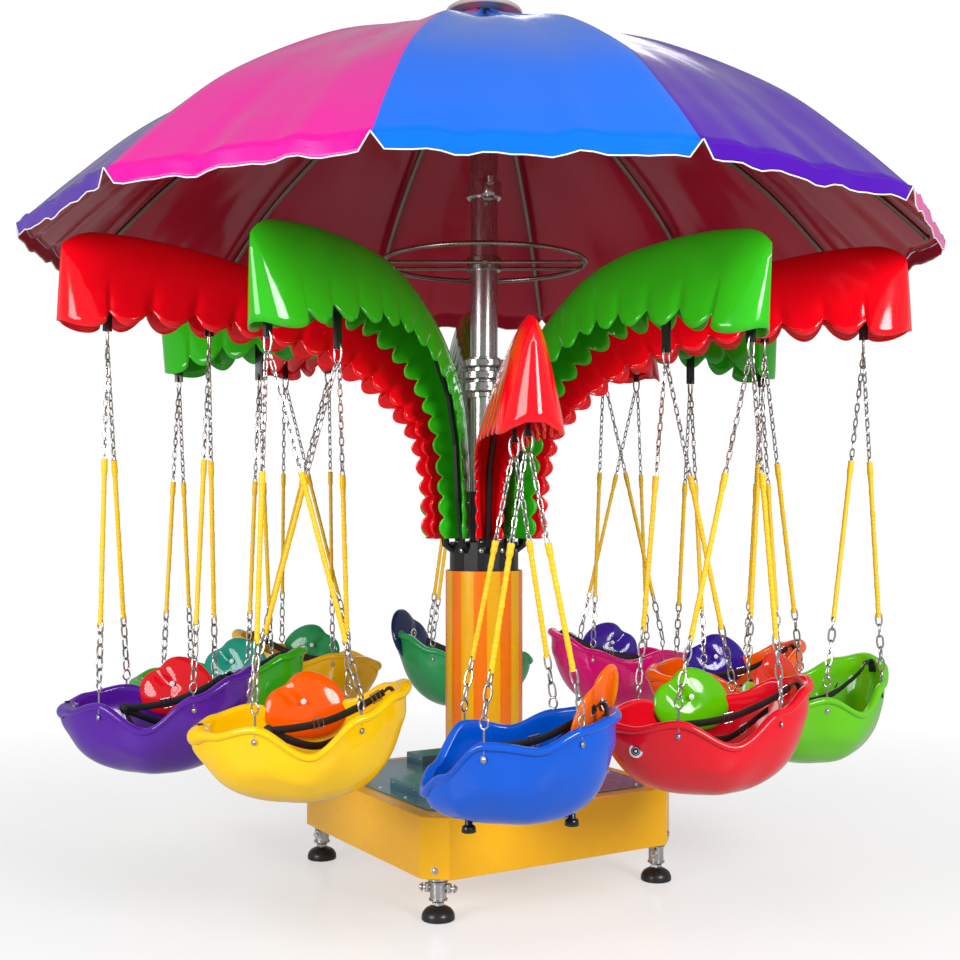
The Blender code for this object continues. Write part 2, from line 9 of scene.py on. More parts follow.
import bmesh
import bpy
import numpy as np
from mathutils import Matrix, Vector


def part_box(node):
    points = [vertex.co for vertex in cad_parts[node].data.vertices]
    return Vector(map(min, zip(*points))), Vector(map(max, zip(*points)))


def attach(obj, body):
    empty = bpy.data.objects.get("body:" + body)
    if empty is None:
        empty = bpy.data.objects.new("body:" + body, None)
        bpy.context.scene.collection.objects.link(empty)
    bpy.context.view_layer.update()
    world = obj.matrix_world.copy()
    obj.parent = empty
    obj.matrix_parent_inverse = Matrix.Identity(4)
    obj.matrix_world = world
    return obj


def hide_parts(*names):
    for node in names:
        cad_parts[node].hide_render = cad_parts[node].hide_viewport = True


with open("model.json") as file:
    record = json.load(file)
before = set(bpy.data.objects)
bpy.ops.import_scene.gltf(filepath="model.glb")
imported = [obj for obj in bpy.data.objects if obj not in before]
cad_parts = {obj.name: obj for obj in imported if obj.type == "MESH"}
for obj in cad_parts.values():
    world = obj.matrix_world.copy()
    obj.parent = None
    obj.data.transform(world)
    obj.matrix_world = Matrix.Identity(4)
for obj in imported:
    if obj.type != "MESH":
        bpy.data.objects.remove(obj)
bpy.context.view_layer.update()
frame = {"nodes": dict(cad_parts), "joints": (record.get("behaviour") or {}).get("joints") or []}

bl_info = {
    "name": "Chair swing ride",
    "version": (1, 0, 0),
    "blender": (4, 5, 0),
    "location": "3D View > Sidebar > Swing ride",
    "description": "Builds the finished surfaces of a children's chair swing ride",
    "category": "Object",
}

# The photograph's view: bearings are counted from it
FRONT_BEARING = -31.5
CAMERA_DISTANCE = 5.0
CAMERA_HEIGHT = 1.33
FOCAL_MM = 50.0
IMAGE_SIZE = 960
HORIZON_ROW = 514
AXIS_COLUMN = 484

ARMS = 10
FIRST_ARM_BEARING = 5.0
PANELS = 12
CORNER_BEARING = -10.0
FULL_TURN = 2 * math.pi
JOINTS = {joint["name"]: joint for joint in frame["joints"]}


def srgb(code):
    """Linear colour of a six-digit screen colour."""
    parts = [int(code[i:i + 2], 16) / 255 for i in (0, 2, 4)]
    return tuple(c / 12.92 if c <= 0.04045 else ((c + 0.055) / 1.055) ** 2.4 for c in parts)


def unit(v):
    """Vectors scaled to length 1."""
    v = np.asarray(v, dtype=float)
    return v / np.maximum(np.linalg.norm(v, axis=-1, keepdims=True), 1e-12)


def turn_z(points, degrees):
    """Points turned about the ride's axis."""
    a = math.radians(degrees)
    c, s = math.cos(a), math.sin(a)
    p = np.asarray(points, dtype=float)
    return np.stack([p[..., 0] * c - p[..., 1] * s, p[..., 0] * s + p[..., 1] * c, p[..., 2]], axis=-1)


def bearing_turn(bearing):
    """The turn about the axis that brings +X to a bearing, which is counted from the view."""
    return bearing + FRONT_BEARING - 90.0


def arm_bearing(index):
    """Bearing of an arm: the arms stand evenly round the axis from the first one."""
    return FIRST_ARM_BEARING + index * 360 / ARMS


def circle(count):
    """Angles of points evenly round a circle, in radians."""
    return np.linspace(0, FULL_TURN, count, endpoint=False)


def smooth_step(t):
    """An ease from 0 to 1, level at both ends."""
    t = np.clip(t, 0.0, 1.0)
    return t * t * (3 - 2 * t)


def bump(x, centre, width):
    """A bell curve of height 1."""
    return np.exp(-((x - centre) / width) ** 2)


class Solid:
    """Vertex and face arrays of one piece, gathered from grids, each with a material number."""

    def __init__(self):
        self.points, self.faces, self.kinds, self.count = [], [], [], 0

    def add(self, points, faces, kind=0):
        """Points and the faces on them, numbered from the first of these points."""
        points = np.asarray(points, dtype=float).reshape(-1, 3)
        self.points.append(points)
        self.faces.append(np.asarray(faces, dtype=int) + self.count)
        self.kinds.append(np.full(len(faces), kind))
        self.count += len(points)
        return self

    def grid(self, points, wrap_u=False, wrap_v=False, kind=0):
        """A grid of points, u by v, wrapped where asked; its faces look along (next v) x (next u)."""
        nu, nv = points.shape[:2]
        return self.add(points, grid_faces(nu, nv, wrap_u, wrap_v), kind)

    def fan(self, ring, centre, flip=False, kind=0):
        """A ring of points closed by triangles to one centre point."""
        n = len(ring)
        i = np.arange(n)
        j = (i + 1) % n
        order = (i, j) if not flip else (j, i)
        faces = np.stack([order[0], order[1], np.full(n, n), np.full(n, n)], axis=1)
        return self.add(np.vstack([ring, [centre]]), faces, kind)

    def mesh(self, name):
        """A Blender mesh of all that was added; a face whose last two corners agree is a triangle."""
        points = np.vstack(self.points)
        faces = []
        for block in self.faces:
            faces += [f[:3] if len(f) == 4 and f[2] == f[3] else f for f in block.tolist()]
        mesh = bpy.data.meshes.new(name)
        mesh.from_pydata(points.tolist(), [], faces)
        mesh.polygons.foreach_set("material_index", np.concatenate(self.kinds))
        mesh.update()
        return mesh


def grid_faces(nu, nv, wrap_u, wrap_v):
    """Corner numbers of the quads between neighbouring points of a grid."""
    u = np.arange(nu if wrap_u else nu - 1)
    v = np.arange(nv if wrap_v else nv - 1)
    uu, vv = np.meshgrid(u, v, indexing="ij")
    un, vn = (uu + 1) % nu, (vv + 1) % nv
    return np.stack([uu * nv + vv, uu * nv + vn, un * nv + vn, un * nv + vv], axis=-1).reshape(-1, 4)


def piece(name, solid, body, materials, slot, sharp=40.0, replaces=(), weld=False):
    """Make a finished object of a solid, riding on a body."""
    mesh = solid.mesh(name)
    obj = bpy.data.objects.new(name, mesh)
    bpy.context.scene.collection.objects.link(obj)
    for finish in materials:
        mesh.materials.append(finish)
    if weld:
        close_seams(mesh)
    mesh.shade_smooth()
    mesh.set_sharp_from_angle(angle=math.radians(sharp))
    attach(obj, body)
    if replaces:
        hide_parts(*replaces)
    return obj


def close_seams(mesh):
    """Merge doubled points and turn all faces outward."""
    bm = bmesh.new()
    bm.from_mesh(mesh)
    bmesh.ops.remove_doubles(bm, verts=bm.verts, dist=0.00002)
    bmesh.ops.recalc_face_normals(bm, faces=bm.faces)
    bm.to_mesh(mesh)
    bm.free()


def lathe(solid, profile, steps=64, centre=(0, 0), kind=0):
    """Turn a profile of (radius, height), listed from bottom to top, about an upright axis."""
    p = np.array(profile, dtype=float)
    a = circle(steps)[:, None]
    points = np.stack([centre[0] + p[None, :, 0] * np.cos(a),
                       centre[1] + p[None, :, 0] * np.sin(a),
                       np.broadcast_to(p[None, :, 1], (steps, len(p)))], axis=-1)
    faces = grid_faces(steps, len(p), True, False)[:, ::-1]
    return solid.add(points, faces, kind)


def rounded(profile, radius=0.002):
    """A profile of (radius, height) with each inner corner cut by two points."""
    p = np.array(profile, dtype=float)
    out = [p[0]]
    for before, here, after in zip(p, p[1:], p[2:]):
        for other in (before, after):
            gap = np.linalg.norm(other - here)
            out.append(here + (other - here) * min(radius, 0.4 * gap) / max(gap, 1e-9))
    out.append(p[-1])
    return out


def collar(solid, radius, low, high, bore=0.0, edge=0.002, steps=48, centre=(0, 0), kind=0):
    """A disc or ring between two heights, its outer corners cut."""
    profile = [(bore, low), (radius, low), (radius, high), (bore, high)]
    return lathe(solid, rounded(profile, edge), steps, centre, kind)


def sweep(solid, path, radius, sides=10, closed=False, up=(0, 0, 1), kind=0):
    """A round bar along a path: a circle of the given radius set square to the path at each point."""
    path = np.asarray(path, dtype=float)
    ahead = np.roll(path, -1, axis=0) - np.roll(path, 1, axis=0)
    if not closed:
        ahead[0] = path[1] - path[0]
        ahead[-1] = path[-1] - path[-2]
    ahead = unit(ahead)
    side = unit(np.cross(ahead, np.asarray(up, dtype=float)) + 1e-9)
    over = np.cross(side, ahead)
    a = circle(sides)[None, :, None]
    r = np.broadcast_to(np.asarray(radius, dtype=float), (len(path),))[:, None, None]
    ring = side[:, None, :] * np.cos(a) + over[:, None, :] * np.sin(a)
    points = path[:, None, :] + r * ring
    solid.grid(points, wrap_u=closed, wrap_v=True, kind=kind)
    if not closed:
        solid.fan(points[0], path[0], flip=True, kind=kind)
        solid.fan(points[-1], path[-1], kind=kind)
    return solid


def ribbon(solid, path, width, thick, across, kind=0):
    """A flat strap along a path: a thin rounded box section, its width along the across vector."""
    path = np.asarray(path, dtype=float)
    ahead = unit(np.gradient(path, axis=0))
    side = unit(np.broadcast_to(np.asarray(across, dtype=float), path.shape))
    side = unit(side - ahead * np.sum(side * ahead, axis=1, keepdims=True))
    face = np.cross(ahead, side)
    w, t = width / 2, thick / 2
    half = np.array([(-w, -t * 0.4), (-w * 0.94, -t), (w * 0.94, -t), (w, -t * 0.4)])
    section = np.vstack([half, -half])
    points = path[:, None] + side[:, None] * section[None, :, :1] + face[:, None] * section[None, :, 1:]
    solid.grid(points, wrap_v=True, kind=kind)
    solid.fan(points[0], path[0], flip=True, kind=kind)
    solid.fan(points[-1], path[-1], kind=kind)
    return solid


def ball(solid, centre, radii, rows=10, cols=16, kind=0):
    """An ellipsoid: latitude circles scaled by three radii."""
    lat = np.linspace(-math.pi / 2, math.pi / 2, rows)[None]
    lon = circle(cols)[:, None]
    points = np.stack([np.cos(lat) * np.cos(lon), np.cos(lat) * np.sin(lon),
                       np.broadcast_to(np.sin(lat), (cols, rows))], axis=-1)
    faces = grid_faces(cols, rows, True, False)[:, ::-1]
    return solid.add(points * np.asarray(radii, dtype=float) + np.asarray(centre, dtype=float), faces, kind)


def loop(centre, wide, tall, count):
    """Points round an oval whose half axes are the vectors wide and tall."""
    a = circle(count)
    return np.asarray(centre) + np.column_stack([np.cos(a), np.sin(a)]) @ np.array([wide, tall])


def curve_points(points, count):
    """A Catmull-Rom curve through points, read evenly along its length."""
    p = np.array(points, dtype=float)
    p = np.vstack([2 * p[0] - p[1], p, 2 * p[-1] - p[-2]])
    t = np.linspace(0, 1, 16, endpoint=False)[:, None]
    spans = []
    for a, b, c, d in zip(p, p[1:], p[2:], p[3:]):
        square = (2 * a - 5 * b + 4 * c - d) * t ** 2
        cube = (3 * b - a - 3 * c + d) * t ** 3
        spans.append(0.5 * (2 * b + (c - a) * t + square + cube))
    fine = np.vstack(spans + [p[-2:-1]])
    steps = np.linalg.norm(np.diff(fine, axis=0), axis=1)
    along = np.concatenate([[0], np.cumsum(steps)]) / steps.sum()
    where = np.linspace(0, 1, count)
    return np.column_stack([np.interp(where, along, fine[:, k]) for k in range(p.shape[1])])


def link_shape(length, width, wire, around=14, sides=6):
    """One chain link: a round wire along a flattened oval, in its own axes (width, thickness, length)."""
    a = circle(around)
    x = (width - wire) / 2 * np.sign(np.cos(a)) * np.abs(np.cos(a)) ** 0.75
    z = (length - wire) / 2 * np.sign(np.sin(a)) * np.abs(np.sin(a)) ** 0.85
    path = np.stack([x, np.zeros_like(x), z], axis=-1)
    ahead = unit(np.roll(path, -1, axis=0) - np.roll(path, 1, axis=0))
    over = np.array([0.0, 1.0, 0.0])
    side = np.cross(over, ahead)
    b = circle(sides)[None, :, None]
    ring = side[:, None] * np.cos(b) + over[None, None] * np.sin(b)
    return path[:, None] + ring * wire / 2


def chain(solid, start, end, length, width, wire, kind=0, twist=0.3):
    """Links from start to end, each one turned a quarter against the last."""
    start, end = np.asarray(start, dtype=float), np.asarray(end, dtype=float)
    run = np.linalg.norm(end - start)
    count = max(2, int(round(run / (length - 2 * wire))))
    ahead = (end - start) / run
    pitch = run / count
    shape = link_shape(pitch + 1.9 * wire, width, wire)
    base = unit(np.cross(ahead, (0.3, 1.0, 0.1)))
    other = np.cross(ahead, base)
    faces = grid_faces(shape.shape[0], shape.shape[1], True, True)
    for i in range(count):
        angle = twist + (math.pi / 2) * (i % 2) + 0.13 * math.sin(5.1 * i)
        wide = base * math.cos(angle) + other * math.sin(angle)
        thick = np.cross(ahead, wide)
        centre = start + ahead * pitch * (i + 0.5)
        points = centre + shape[..., :1] * wide + shape[..., 1:2] * thick + shape[..., 2:] * ahead
        solid.add(points, faces, kind)


class Socket:
    """One shader value; arithmetic on it adds Math nodes."""

    def __init__(self, graph, link):
        self.graph, self.link = graph, link

    def _math(self, operation, *values):
        return self.graph.node("ShaderNodeMath", {"operation": operation}, dict(enumerate(values)))

    def __add__(self, other):
        return self._math("ADD", self, other)

    def __sub__(self, other):
        return self._math("SUBTRACT", self, other)

    def __rsub__(self, other):
        return self._math("SUBTRACT", other, self)

    def __mul__(self, other):
        return self._math("MULTIPLY", self, other)

    def __truediv__(self, other):
        return self._math("DIVIDE", self, other)

    def __pow__(self, other):
        return self._math("POWER", self, other)

    def clamp(self, low, high):
        return self._math("MINIMUM", self._math("MAXIMUM", self, low), high)

    def sine(self):
        return self._math("SINE", self)

    __radd__ = __add__
    __rmul__ = __mul__


class Graph:
    """A material's node tree, built from expressions."""

    def __init__(self, name):
        self.material = bpy.data.materials.new(name)
        self.material.use_nodes = True
        self.tree = self.material.node_tree
        self.shader = self.tree.nodes["Principled BSDF"]
        self.place = self.node("ShaderNodeTexCoord", {}, {}, "Object")

    def node(self, kind, settings, inputs, output=0):
        """A new node with its settings and its sockets' values or links; gives one of its outputs."""
        node = self.tree.nodes.new(kind)
        for key, value in settings.items():
            setattr(node, key, value)
        for key, value in inputs.items():
            self.feed(node.inputs[key], value)
        return Socket(self, node.outputs[output])

    def feed(self, socket, value):
        """Link a shader value to a socket, or set a plain one on it."""
        if isinstance(value, Socket):
            self.tree.links.new(value.link, socket)
        elif socket.type == "RGBA":
            socket.default_value = (*tuple(value)[:3], 1.0)
        else:
            socket.default_value = value

    def noise(self, scale, detail=3.0, roughness=0.5, stretch=None):
        """Cloudy values over the piece's own place, drawn out where a stretch is given."""
        place = self.place
        if stretch:
            place = self.node("ShaderNodeMapping", {}, {"Vector": place, "Scale": stretch})
        inputs = {"Vector": place, "Scale": scale, "Detail": detail, "Roughness": roughness}
        return self.node("ShaderNodeTexNoise", {}, inputs)

    def axis(self, index):
        """One coordinate of the piece's own place."""
        return self.node("ShaderNodeSeparateXYZ", {}, {0: self.place}, index)

    def mix(self, amount, first, second):
        """Two colours mixed by an amount; 6, 7 and 2 are the Mix node's colour sockets."""
        return self.node("ShaderNodeMix", {"data_type": "RGBA"}, {0: amount, 6: first, 7: second}, 2)

    def finish(self, colour, roughness, metallic=0.0, height=None, depth=0.001, strength=1.0, fixed=None):
        """Feed the shader, with a Bump for the relief and plain values for the fixed sockets."""
        self.feed(self.shader.inputs["Base Color"], colour)
        self.feed(self.shader.inputs["Roughness"], roughness)
        self.shader.inputs["Metallic"].default_value = metallic
        for key, value in (fixed or {}).items():
            self.shader.inputs[key].default_value = value
        if height is not None:
            relief = {"Height": height, "Distance": depth, "Strength": strength}
            self.feed(self.shader.inputs["Normal"], self.node("ShaderNodeBump", {}, relief))
        return self.material


# Clear film over plastic and enamel, and the thinner one on the cloth
FILM = {"Coat Weight": 0.20, "Coat Roughness": 0.03, "Specular IOR Level": 0.36}
CLOTH_FILM = {"Coat Weight": 0.10, "Coat Roughness": 0.03, "Specular IOR Level": 0.26}


def scaled(colour, amount):
    """A colour made darker or lighter, held at 1."""
    return tuple(min(c * amount, 1.0) for c in colour)


def moulded(name, colour):
    """Glossy rotation-moulded plastic: long soft waves, slightly cloudy colour and a few dull patches."""
    g = Graph(name)
    tint = g.mix((g.noise(5.0, 2.0) * 1.6 - 0.3).clamp(0.0, 1.0), scaled(colour, 0.90), scaled(colour, 1.06))
    rough = 0.09 + (g.noise(9.0, 3.0) - 0.5).clamp(0.0, 0.3) * 0.25
    return g.finish(tint, rough, height=g.noise(11.0, 1.0), depth=0.0018, strength=0.35, fixed=FILM)


def painted(name, colour, gloss=0.25, metallic=0.0, bottom_darkening_height=0.0):
    """Sprayed enamel on sheet steel: fine peel, dull patches and, where a height is given, colour darkened in
    patches towards the bottom.
    """
    g = Graph(name)
    cloud = g.noise(4.0, 4.0)
    tint = g.mix((cloud * 1.5 - 0.3).clamp(0.0, 1.0), scaled(colour, 0.92), scaled(colour, 1.04))
    if bottom_darkening_height:
        # Colour darkened in patches towards the bottom, fading out at the given height
        low = (1.0 - g.axis(2) * (1.0 / bottom_darkening_height)).clamp(0.0, 1.0) * g.noise(18.0, 5.0, 0.7)
        tint = g.mix(low * 0.5, tint, scaled(colour, 0.35))
    rough = gloss + (g.noise(45.0, 4.0, 0.6) - 0.4).clamp(0.0, 0.4) * 0.5
    peel = g.noise(300.0, 2.0)
    return g.finish(tint, rough, metallic, height=peel, depth=0.0004, strength=0.35, fixed=FILM)


def plated(name, colour, gloss=0.22, stretch=(60.0, 60.0, 3.0)):
    """Bright plated or drawn steel with fine marks along the tube and cloudy patches."""
    g = Graph(name)
    lines = g.noise(5.0, 5.0, 0.7, stretch)
    cloud = g.noise(9.0, 3.0)
    tint = g.mix((cloud * 1.4 - 0.2).clamp(0.0, 1.0), scaled(colour, 0.78), colour)
    rough = gloss + (lines - 0.4).clamp(0.0, 0.5) * 0.4
    return g.finish(tint, rough, 1.0, height=lines, depth=0.0004, strength=0.3)


def coated_cloth(name, colour, sheen_colour):
    """Glossy coated cloth: a fine weave under the film, long soft folds, ridged creases and uneven colour."""
    g = Graph(name)
    fold = g.noise(3.2, 3.0, 0.5, (1.0, 1.0, 0.35))
    tint = g.mix((g.noise(1.6, 2.0) * 1.8 - 0.4).clamp(0.0, 1.0), colour, sheen_colour)
    weave = (g.axis(0) * 2400.0).sine() * (g.axis(1) * 2400.0).sine()
    crumple = g.node("ShaderNodeTexNoise", {"noise_type": "RIDGED_MULTIFRACTAL"},
                     {"Vector": g.place, "Scale": 3.4, "Detail": 2.0, "Roughness": 0.4})
    height = fold * 0.6 + crumple * 0.30 + weave * 0.006
    rough = 0.15 + (g.noise(12.0, 3.0) - 0.4).clamp(0.0, 0.4) * 0.3
    return g.finish(tint, rough, height=height, depth=0.007, strength=0.35, fixed=CLOTH_FILM)


def webbing(name):
    """Black woven strap: ribs across the strap and a little fluff."""
    g = Graph(name)
    rib = (g.axis(0) * 2600.0 + g.axis(2) * 2600.0).sine()
    tint = g.mix(g.noise(400.0, 2.0), srgb("0c0c0d"), srgb("232325"))
    return g.finish(tint, 0.62 + g.noise(90.0, 2.0) * 0.15, height=rib, depth=0.0003, strength=0.5)


def sleeve_skin(name, colour):
    """Yellow plastic sleeve drawn over chain: lengthwise ridges and soiled patches."""
    g = Graph(name)
    tint = g.mix((g.noise(28.0, 4.0, 0.6) * 1.8 - 0.3).clamp(0.0, 1.0), scaled(colour, 0.86), colour)
    ridge = (g.axis(2) * 420.0 + g.noise(30.0, 2.0) * 6.0).sine()
    return g.finish(tint, 0.36 + g.noise(80.0, 2.0) * 0.2, height=ridge, depth=0.0006, strength=0.5)


def tint_property(name, description, default):
    """A colour that a user may change."""
    return bpy.props.FloatVectorProperty(name=name, description=description, default=default, subtype="COLOR",
                                         size=3)


def length_property(name, description, default, low, high):
    """A length that a user may change."""
    return bpy.props.FloatProperty(name=name, description=description, default=default, min=low, max=high,
                                   unit="LENGTH")


class SwingRideLooks(bpy.types.PropertyGroup):
    """Sizes and colours that a user would change."""

    red: tint_property("Red frond", "Colour of the odd fronds", (0.95, 0.002, 0.010))
    green: tint_property("Green frond", "Colour of the even fronds", (0.030, 0.50, 0.010))
    rope: tint_property("Sleeve", "Colour of the hangers' sleeves", (0.95, 0.58, 0.0))
    base: tint_property("Base", "Colour of the base box", (1.0, 0.49, 0.0))
    plate: tint_property("Plate", "Colour of the base's top plate", srgb("5c8798"))
    violet: tint_property("Violet panel", "First colour of the canopy", (0.055, 0.0, 0.30))
    magenta: tint_property("Magenta panel", "Second colour of the canopy", (0.72, 0.004, 0.30))
    blue: tint_property("Blue panel", "Third colour of the canopy", (0.0, 0.13, 0.72))
    lining: tint_property("Lining", "Colour of the canopy's underside", (0.60, 0.020, 0.060))
    sleeve_radius: length_property("Sleeve radius", "Radius of the yellow sleeve", 0.0080, 0.005, 0.02)
    chain_wire: length_property("Chain wire", "Thickness of the chain's wire", 0.0048, 0.003, 0.008)
    lobe_length: length_property("Lobe length", "Length of a lobe on a frond's edge", 0.118, 0.05, 0.2)


def looks():
    """The scene's sizes and colours."""
    return bpy.context.scene.swing_ride_looks


MATERIALS = {}


def material(name, make, *values):
    """A finish by name, made at its first use and shared after that."""
    if name not in MATERIALS:
        MATERIALS[name] = make(name, *values)
    return MATERIALS[name]


def steel():
    """Bright steel of tubes, flanges and bolts."""
    return material("bright_plated_steel", plated, srgb("c9c9c8"), 0.20)


def dark_steel():
    """Black enamel of the hub and its arms."""
    return material("black_enamel", painted, srgb("131315"), 0.3)


def bolt(solid, place, facing, radius=0.007, height=0.004, kind=0):
    """A domed bolt head on a washer, looking along facing."""
    facing = unit(facing)
    side = unit(np.cross(facing, (0.13, 0.31, 0.94)))
    turn = np.column_stack([side, np.cross(facing, side), facing])
    profile = np.array([(0.0, 0.0), (1.5, 0.0), (1.5, 0.25), (1.05, 0.3), (1.0, 0.7), (0.7, 1.0), (0.0, 1.1)])
    steps = 12
    a = circle(steps)[:, None]
    reach = radius * profile[None, :, 0]
    local = np.stack([reach * np.cos(a), reach * np.sin(a),
                      np.broadcast_to(height * profile[None, :, 1], (steps, len(profile)))], axis=-1)
    faces = grid_faces(steps, len(profile), True, False)[:, ::-1]
    solid.add(local @ turn.T + np.asarray(place), faces, kind)


def prism(solid, outline, low, high, round_edge=0.004, kind=0):
    """An upright block of a plan outline, its top and bottom edges rounded by inset rings."""
    p = np.array(outline, dtype=float)
    centre = p.mean(axis=0)
    reach = np.linalg.norm(p - centre, axis=1, keepdims=True)
    steps = ((0.0, 1.0), (0.3, 0.3), (1.0, 0.0))
    levels = [(low + round_edge * rise, round_edge * inset) for rise, inset in steps]
    levels += [(high - round_edge * rise, round_edge * inset) for rise, inset in reversed(steps)]
    rings = []
    for height, inset in levels:
        flat = centre + (p - centre) * (1 - inset * 1.2 / reach)
        rings.append(np.column_stack([flat, np.full(len(p), height)]))
    points = np.array(rings)
    solid.grid(points, wrap_v=True, kind=kind)
    solid.fan(points[0], (*centre, low), flip=True, kind=kind)
    solid.fan(points[-1], (*centre, high), kind=kind)


CORNERS = ((1, -1), (1, 1), (-1, 1), (-1, -1))
BASE_CUT = 0.07
COVER_BOXES = ((0.33, -0.10), (-0.33, -0.10), (0.0, 0.36))
COVER_BOX_SIZE = (0.20, 0.13)


def chamfered_square(half, cut):
    """Plan of a square whose corners are cut off."""
    points = []
    for x, y in CORNERS:
        first, second = (half * x, half * y - cut * y), (half * x - cut * x, half * y)
        points += [first, second] if x * y > 0 else [second, first]
    return points


def cover_box_reach(x, y):
    """Half sizes of a cover box on the plate; it lies along the nearer edge."""
    long, wide = COVER_BOX_SIZE
    return (wide / 2, long / 2) if abs(x) > abs(y) else (long / 2, wide / 2)


def build_base():
    """The base box and its plate as cut squares, the cover boxes on the plate and all bolts."""
    low, high = [np.array(c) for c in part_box("base_box")]
    body = Solid()
    prism(body, chamfered_square(high[0], BASE_CUT), low[2], high[2], 0.004)
    enamel = material("base_enamel", painted, looks().base, 0.16, 0.0, 0.25)
    piece("base_shell", body, "frame", [enamel], "base_yellow", 25.0, ["base_box"])

    plate_low, plate_high = [np.array(c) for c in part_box("base_plate")]
    plate_top = plate_low[2] + 0.005
    box_top = plate_high[2]
    top = Solid()
    prism(top, chamfered_square(plate_high[0], BASE_CUT), plate_low[2], plate_top, 0.0015)
    for x, y in COVER_BOXES:
        hx, hy = cover_box_reach(x, y)
        outline = [(x + hx, y - hy), (x + hx, y + hy), (x - hx, y + hy), (x - hx, y - hy)]
        prism(top, outline, plate_top - 0.001, box_top, 0.003)
    enamel = material("plate_enamel", painted, looks().plate, 0.14, 0.25)
    piece("base_top_plate", top, "frame", [enamel], "plate_slate", 25.0, ["base_plate"])

    bolts = Solid()
    corner = high[0] - BASE_CUT / 2
    for sx, sy in CORNERS:
        bolt(bolts, (sx * corner, sy * corner, low[2] + 0.03), (sx, sy, 0), 0.008, 0.006)
    for x, y in COVER_BOXES:
        hx, hy = cover_box_reach(x, y)
        for sx in (-1, 1):
            for sy in (-1, 1):
                place = (x + sx * hx, y + sy * (hy - 0.02), (plate_top + box_top) / 2)
                bolt(bolts, place, (sx, 0, 0), 0.004, 0.003)
    edge = 0.435
    for t in np.linspace(-0.38, 0.38, 5):
        for x, y in ((t, edge), (t, -edge), (edge, t), (-edge, t)):
            bolt(bolts, (x, y, plate_top), (0, 0, 1), 0.006, 0.003)
    piece("base_bolts", bolts, "frame", [steel()], "silver_steel")


PAD_PROFILE = ((0, 0), (0.055, 0), (0.055, 0.013), (0.053, 0.022), (0.045, 0.034), (0.030, 0.043), (0, 0.046))
WING_HEIGHT = 0.104


def build_feet():
    """Each foot turned from a low domed pad, a spindle and collars, with a wing bolt on either side."""
    pad = material("black_rubber", painted, srgb("1b1b1c"), 0.35)
    for index in range(1, 5):
        low, high = [np.array(c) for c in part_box(f"foot_{index}")]
        x, y = (low[:2] + high[:2]) / 2
        top = high[2]
        foot = Solid()
        lathe(foot, rounded(PAD_PROFILE, 0.003), 48, (x, y))
        lathe(foot, [(0, 0.045), (0.013, 0.045), (0.013, top), (0, top)], 24, (x, y), 1)
        rings = ((0.048, 0.022, 0.012, 6), (0.064, 0.027, 0.060, 40), (0.064, 0.031, 0.006, 40),
                 (0.122, 0.032, 0.006, 40), (top - 0.008, 0.036, 0.008, 40))
        for z, radius, tall, sides in rings:
            collar(foot, radius, z, z + tall, edge=0.0015, steps=sides, centre=(x, y), kind=1)
        outward = unit((x, y, 0))
        side = np.array([-outward[1], outward[0], 0])
        middle = np.array([x, y, WING_HEIGHT])
        for sign in (-1, 1):
            arm = middle + side * sign * 0.028
            sweep(foot, [middle, arm + side * sign * 0.030], 0.006, 10, kind=1)
            bolt(foot, arm + side * sign * 0.026, side * sign, 0.0095, 0.010, 1)
            wing = arm + side * sign * 0.008
            collar(foot, 0.010, 0.090, 0.120, steps=12, centre=wing[:2], kind=1)
        piece(f"levelling_foot_{index}", foot, "frame", [pad, steel()], "foot_steel", 35.0, [f"foot_{index}"])


STRIPES = 18
COVER_WALL = 0.004


def build_column():
    """The cover as a tube of striped strips with fine grooves between them, and finishes for post and hub."""
    low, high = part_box("column_cover")
    cover = Solid()
    across = 7
    groove = 0.0012 * (np.abs(np.linspace(-1, 1, across)) > 0.95)
    outer = high[0] - groove
    inner = outer - COVER_WALL
    for stripe in range(STRIPES):
        a = np.radians(np.linspace(stripe, stripe + 1, across) * 360 / STRIPES + 3.0)

        def row(radii, z):
            return np.column_stack([radii * np.cos(a), radii * np.sin(a), np.full(across, z)])

        heights = (low[2], low[2] + 0.004, high[2] - 0.004, high[2])
        wall_faces = grid_faces(len(heights), across, False, False)
        cover.add([row(outer, z) for z in heights], wall_faces, stripe % 2)
        cover.add([row(inner, z) for z in heights], wall_faces[:, ::-1], stripe % 2)
        end_faces = grid_faces(2, across, False, False)
        cover.add([row(outer, low[2]), row(inner, low[2])], end_faces[:, ::-1], stripe % 2)
        cover.add([row(outer, high[2]), row(inner, high[2])], end_faces, stripe % 2)
    stripes = [material("stripe_yellow", painted, (0.80, 0.40, 0.0), 0.18),
               material("stripe_orange", painted, (0.86, 0.17, 0.0), 0.18)]
    piece("striped_cover", cover, "frame", stripes, "cover_stripes", 30.0, ["column_cover"], weld=True)

    for name in ("column_post", "arm_spider"):
        kept = frame["nodes"][name]
        kept.data.materials.clear()
        kept.data.materials.append(dark_steel())


def ring_of_bolts(solid, radius, height, count, size, facing_out=True, kind=0):
    """Bolts evenly round the axis, looking outward or up."""
    for i in range(count):
        a = FULL_TURN * (i + 0.5) / count
        out = (math.cos(a), math.sin(a), 0.0)
        place = (radius * out[0], radius * out[1], height)
        bolt(solid, place, out if facing_out else (0, 0, 1), size, size * 0.7, kind)


# Flange stack: radius and height over its foot
FLANGES = ((0, 0), (0.058, 0), (0.058, 0.020), (0.088, 0.022), (0.088, 0.054), (0.064, 0.056), (0.064, 0.066),
           (0.090, 0.068), (0.090, 0.094), (0.058, 0.096), (0.058, 0.112), (0.088, 0.114), (0.088, 0.139),
           (0.060, 0.141), (0.060, 0.150), (0, 0.150))
